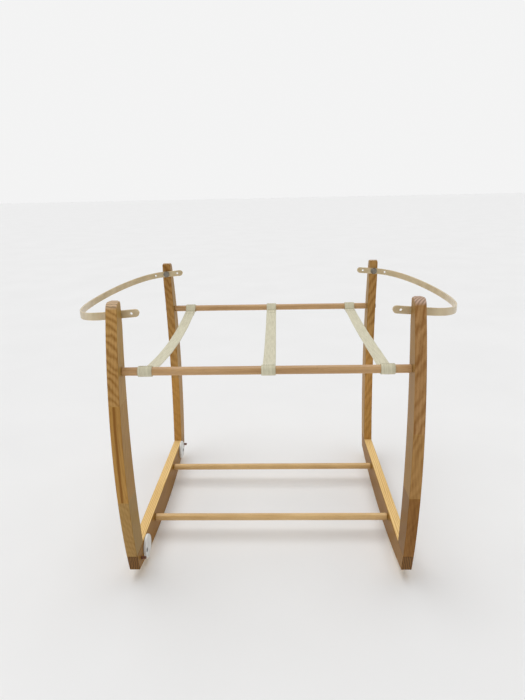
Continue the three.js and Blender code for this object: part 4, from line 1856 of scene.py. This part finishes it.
@dataclass
class Stoppers:
    """The two turning discs, their screws and the pegs that end their turn."""

    frame: Frame
    radius: float = 0.0235
    thick: float = 0.005
    offset: float = 0.012
    recess: float = 0.0026
    hole: float = 0.0026
    recess_radius: float = 0.0052
    screw_head: float = 0.0047
    screw_shank: float = 0.0022
    turns: tuple[tuple[End, float], ...] = ((End.FRONT, 5.0), (End.BACK, 30.0))
    plastic: PlasticFinish = PlasticFinish("stopper_plastic", srgb(228, 229, 227), srgb(212, 213, 210), 0.34, 0.1)
    screw: MetalFinish = MetalFinish("dark_screw", srgb(64, 58, 50), srgb(42, 38, 32), 0.4)
    peg: DowelFinish = DowelFinish(srgb(122, 74, 46), srgb(78, 44, 28))

    def disc(self, end: End, turn: float) -> bpy.types.Object:
        """One off-centre disc with a raised rim and a hole for its screw.

        Args:
            end: the disc's end.
            turn: its angle, in degrees.

        Returns:
            The disc.
        """
        angle = math.radians(turn)
        face = -self.frame.inner_x + self.frame.gap
        screw_y, screw_z = self.frame.stopper
        centre = Vector((face, end.value * (screw_y - self.offset * math.cos(angle)),
                         screw_z + self.offset * math.sin(angle)))
        r, t = self.radius, self.thick
        profile: list[Point2] = [
            (CORE, 0), (r - 0.0005, 0), (r, 0.0005), (r, t - 0.0014), (r - 0.0002, t - 0.0007),
            (r - 0.0007, t - 0.0002), (r - 0.0014, t), (r - 0.0026, t), (r - 0.0034, t - 0.0004),
            (r - 0.0042, t - 0.0006), (CORE, t - 0.0006),
        ]
        piece = Maker.turned(f"stopper_disc_{end.word}", profile, ACROSS, centre, 96)
        hole = Vector((face - 0.001, end.value * screw_y, screw_z))
        recess = Vector((face + t - self.recess, end.value * screw_y, screw_z))
        Maker.cut(piece, [rod("drill", self.hole, hole, hole + ACROSS * 0.008),
                          rod("drill", self.recess_radius, recess, recess + ACROSS * 0.006)])
        Maker.smooth(piece, 30, weighted=True)
        return piece

    def pin_screw(self, end: End) -> bpy.types.Object:
        """The round-headed screw that a disc turns on, with a cross cut in its head.

        Args:
            end: the screw's end.

        Returns:
            The screw.
        """
        seat = -self.frame.inner_x + self.frame.gap + self.thick - self.recess + self.frame.gap
        screw_y, screw_z = self.frame.stopper
        start = Vector((seat, end.value * screw_y, screw_z))
        head, shank = self.screw_head, self.screw_shank
        profile: list[Point2] = [(CORE, -0.002)]
        for i in range(6):
            angle = math.pi / 2 * i / 5
            profile.append((head * (0.45 + 0.55 * math.sin(angle)), -0.0007 - 0.0013 * math.cos(angle)))
        profile += [(head, 0), (shank, 0)]
        length = seat + self.frame.inner_x + 0.0128
        for i in range(7):
            base = 0.0035 + i * 0.0015
            profile += [(shank, base), (shank - 0.0006, base + 0.0007)]
        profile += [(0.0018, length - 0.0015), (CORE, length)]
        piece = Maker.turned(f"stopper_screw_{end.word}_steel", profile, Vector((-1, 0, 0)), start, 36)
        tools: list[bpy.types.Object] = []
        for spread_y, spread_z in ((0.0022, 0.0005), (0.0005, 0.0022)):
            ring = [Vector((seat + 0.0009, start.y + a * spread_y, start.z + b * spread_z))
                    for a, b in ((-1, -1), (1, -1), (1, 1), (-1, 1))]
            top = [p + Vector((0.003, 0, 0)) for p in ring]
            tools.append(Maker.loft("cross", [ring, top]))
        Maker.cut(piece, tools)
        Maker.smooth(piece, 30)
        return piece

    def stop_peg(self, end: End) -> bpy.types.Object:
        """The short stained peg beside a disc.

        Args:
            end: the peg's end.

        Returns:
            The peg.
        """
        peg_y, peg_z = self.frame.peg
        start = Vector((-self.frame.inner_x + 0.010, end.value * peg_y, peg_z))
        profile: list[Point2] = [(CORE, 0.0), (0.0018, 0.0001), (0.0026, 0.0004), (0.003, 0.0011)]
        profile += [(0.003 - 0.00006 * (i % 2), 0.002 + 0.0013 * i) for i in range(13)]
        profile.append((CORE, 0.019))
        piece = Maker.turned(f"stop_peg_{end.word}_rod", profile, Vector((-1, 0, 0)), start, 30)
        Maker.smooth(piece, 40)
        return piece

    def build(self) -> None:
        """Makes the discs, screws and pegs."""
        plastic = self.plastic.build()
        steel = self.screw.build()
        wood = self.peg.build("peg_stain", 1.0)
        for end, turn in self.turns:
            dress(self.disc(end, turn), plastic, Slot.STOPPER, f"{end.word}_stopper", f"stopper_{end.word}")
            dress(self.pin_screw(end), steel, Slot.STEEL, STAND, f"stopper_screw_{end.word}")
            dress(self.stop_peg(end), wood, Slot.PEG, STAND, f"stop_peg_{end.word}")


# ---------------------------------------------------------------------------------------------------
# The studio


@dataclass
class Studio:
    """The camera, the pale floor and the soft lights."""

    place: tuple[float, float, float] = (0.0274, -1.1903, 0.7330)
    right: tuple[float, float, float] = (0.99938, 0.02850, -0.02061)
    up: tuple[float, float, float] = (0.01176, 0.28161, 0.95946)
    ahead: tuple[float, float, float] = (-0.03315, 0.95911, -0.28110)
    lens: float = 29.148
    floor_size: float = 60.0
    sun_from: tuple[float, float, float] = (-0.12, 0.16, 1.0)
    sun_strength: float = 0.68
    sun_spread: float = 70.0
    wall: float = 0.9
    ceiling: float = 0.14

    def camera(self) -> None:
        """Sets up the camera."""
        data = bpy.data.cameras.new("camera")
        data.lens = self.lens
        data.sensor_width = 36.0
        made = bpy.data.objects.new("camera", data)
        right, up, back = Vector(self.right), Vector(self.up), -Vector(self.ahead)
        turn = Matrix((right, up, back)).transposed().to_4x4()
        made.matrix_world = Matrix.Translation(self.place) @ turn
        bpy.context.scene.collection.objects.link(made)
        bpy.context.scene.camera = made

    def floor(self) -> None:
        """Lays the pale floor just under the rockers."""
        half = self.floor_size / 2
        corners = [Vector((x * half, y * half, -0.0004)) for x, y in ((-1, -1), (1, -1), (1, 1), (-1, 1))]
        data = bpy.data.meshes.new("floor")
        data.from_pydata([tuple(c) for c in corners], [], [(0, 1, 2, 3)])
        made = bpy.data.objects.new("floor", data)
        bpy.context.scene.collection.objects.link(made)
        tree = ShaderTree("pale_floor", roughness=0.9)
        tree.shader.inputs["Specular IOR Level"].default_value = 0.1
        mottle = tree.grain((3,) * 3, 2.0)
        colour = tree.ramp(mottle, [(0.3, (0.86, 0.86, 0.86)), (0.7, (0.88, 0.88, 0.88))])
        data.materials.append(tree.finish(colour, mottle, 0.00001))

    def sun(self) -> None:
        """Hangs the broad overhead light."""
        data = bpy.data.lights.new("overhead", "SUN")
        data.energy = self.sun_strength * math.pi
        data.angle = math.radians(self.sun_spread)
        made = bpy.data.objects.new("overhead", data)
        made.rotation_euler = (-Vector(self.sun_from)).to_track_quat("-Z", "Y").to_euler()
        bpy.context.scene.collection.objects.link(made)

    def room(self) -> None:
        """Surrounds the floor with a pale wall that darkens overhead."""
        world = bpy.data.worlds.new("studio")
        world.use_nodes = True
        tree = world.node_tree
        background = tree.nodes["Background"]
        direction = tree.nodes.new("ShaderNodeTexCoord")
        split = tree.nodes.new("ShaderNodeSeparateXYZ")
        height = tree.nodes.new("ShaderNodeMapRange")
        height.inputs["From Min"].default_value = math.sin(math.radians(17))
        height.inputs["From Max"].default_value = math.sin(math.radians(40))
        height.inputs["To Min"].default_value = self.wall
        height.inputs["To Max"].default_value = self.ceiling
        tree.links.new(direction.outputs["Generated"], split.inputs[0])
        tree.links.new(split.outputs["Z"], height.inputs["Value"])
        tree.links.new(height.outputs[0], background.inputs["Strength"])
        background.inputs["Color"].default_value = (1.0, 1.0, 1.0, 1)
        bpy.context.scene.world = world

    def build(self) -> None:
        """Sets up everything round the object."""
        self.camera()
        self.floor()
        self.sun()
        self.room()
        bpy.context.scene.view_settings.view_transform = "Standard"


def main() -> None:
    """Builds the studio and every sub-assembly."""
    logging.basicConfig(level=logging.INFO, format="%(name)s %(message)s")
    Studio().build()
    sizes = Frame()
    hoops = Hoops(sizes)
    for part in (Rails(sizes), Legs(sizes), Dowels(sizes), Straps(sizes), hoops, Fasteners(sizes, hoops),
                 Stoppers(sizes)):
        LOG.info("building %s", type(part).__name__.lower())
        part.build()


if __name__ == "__main__":
    main()
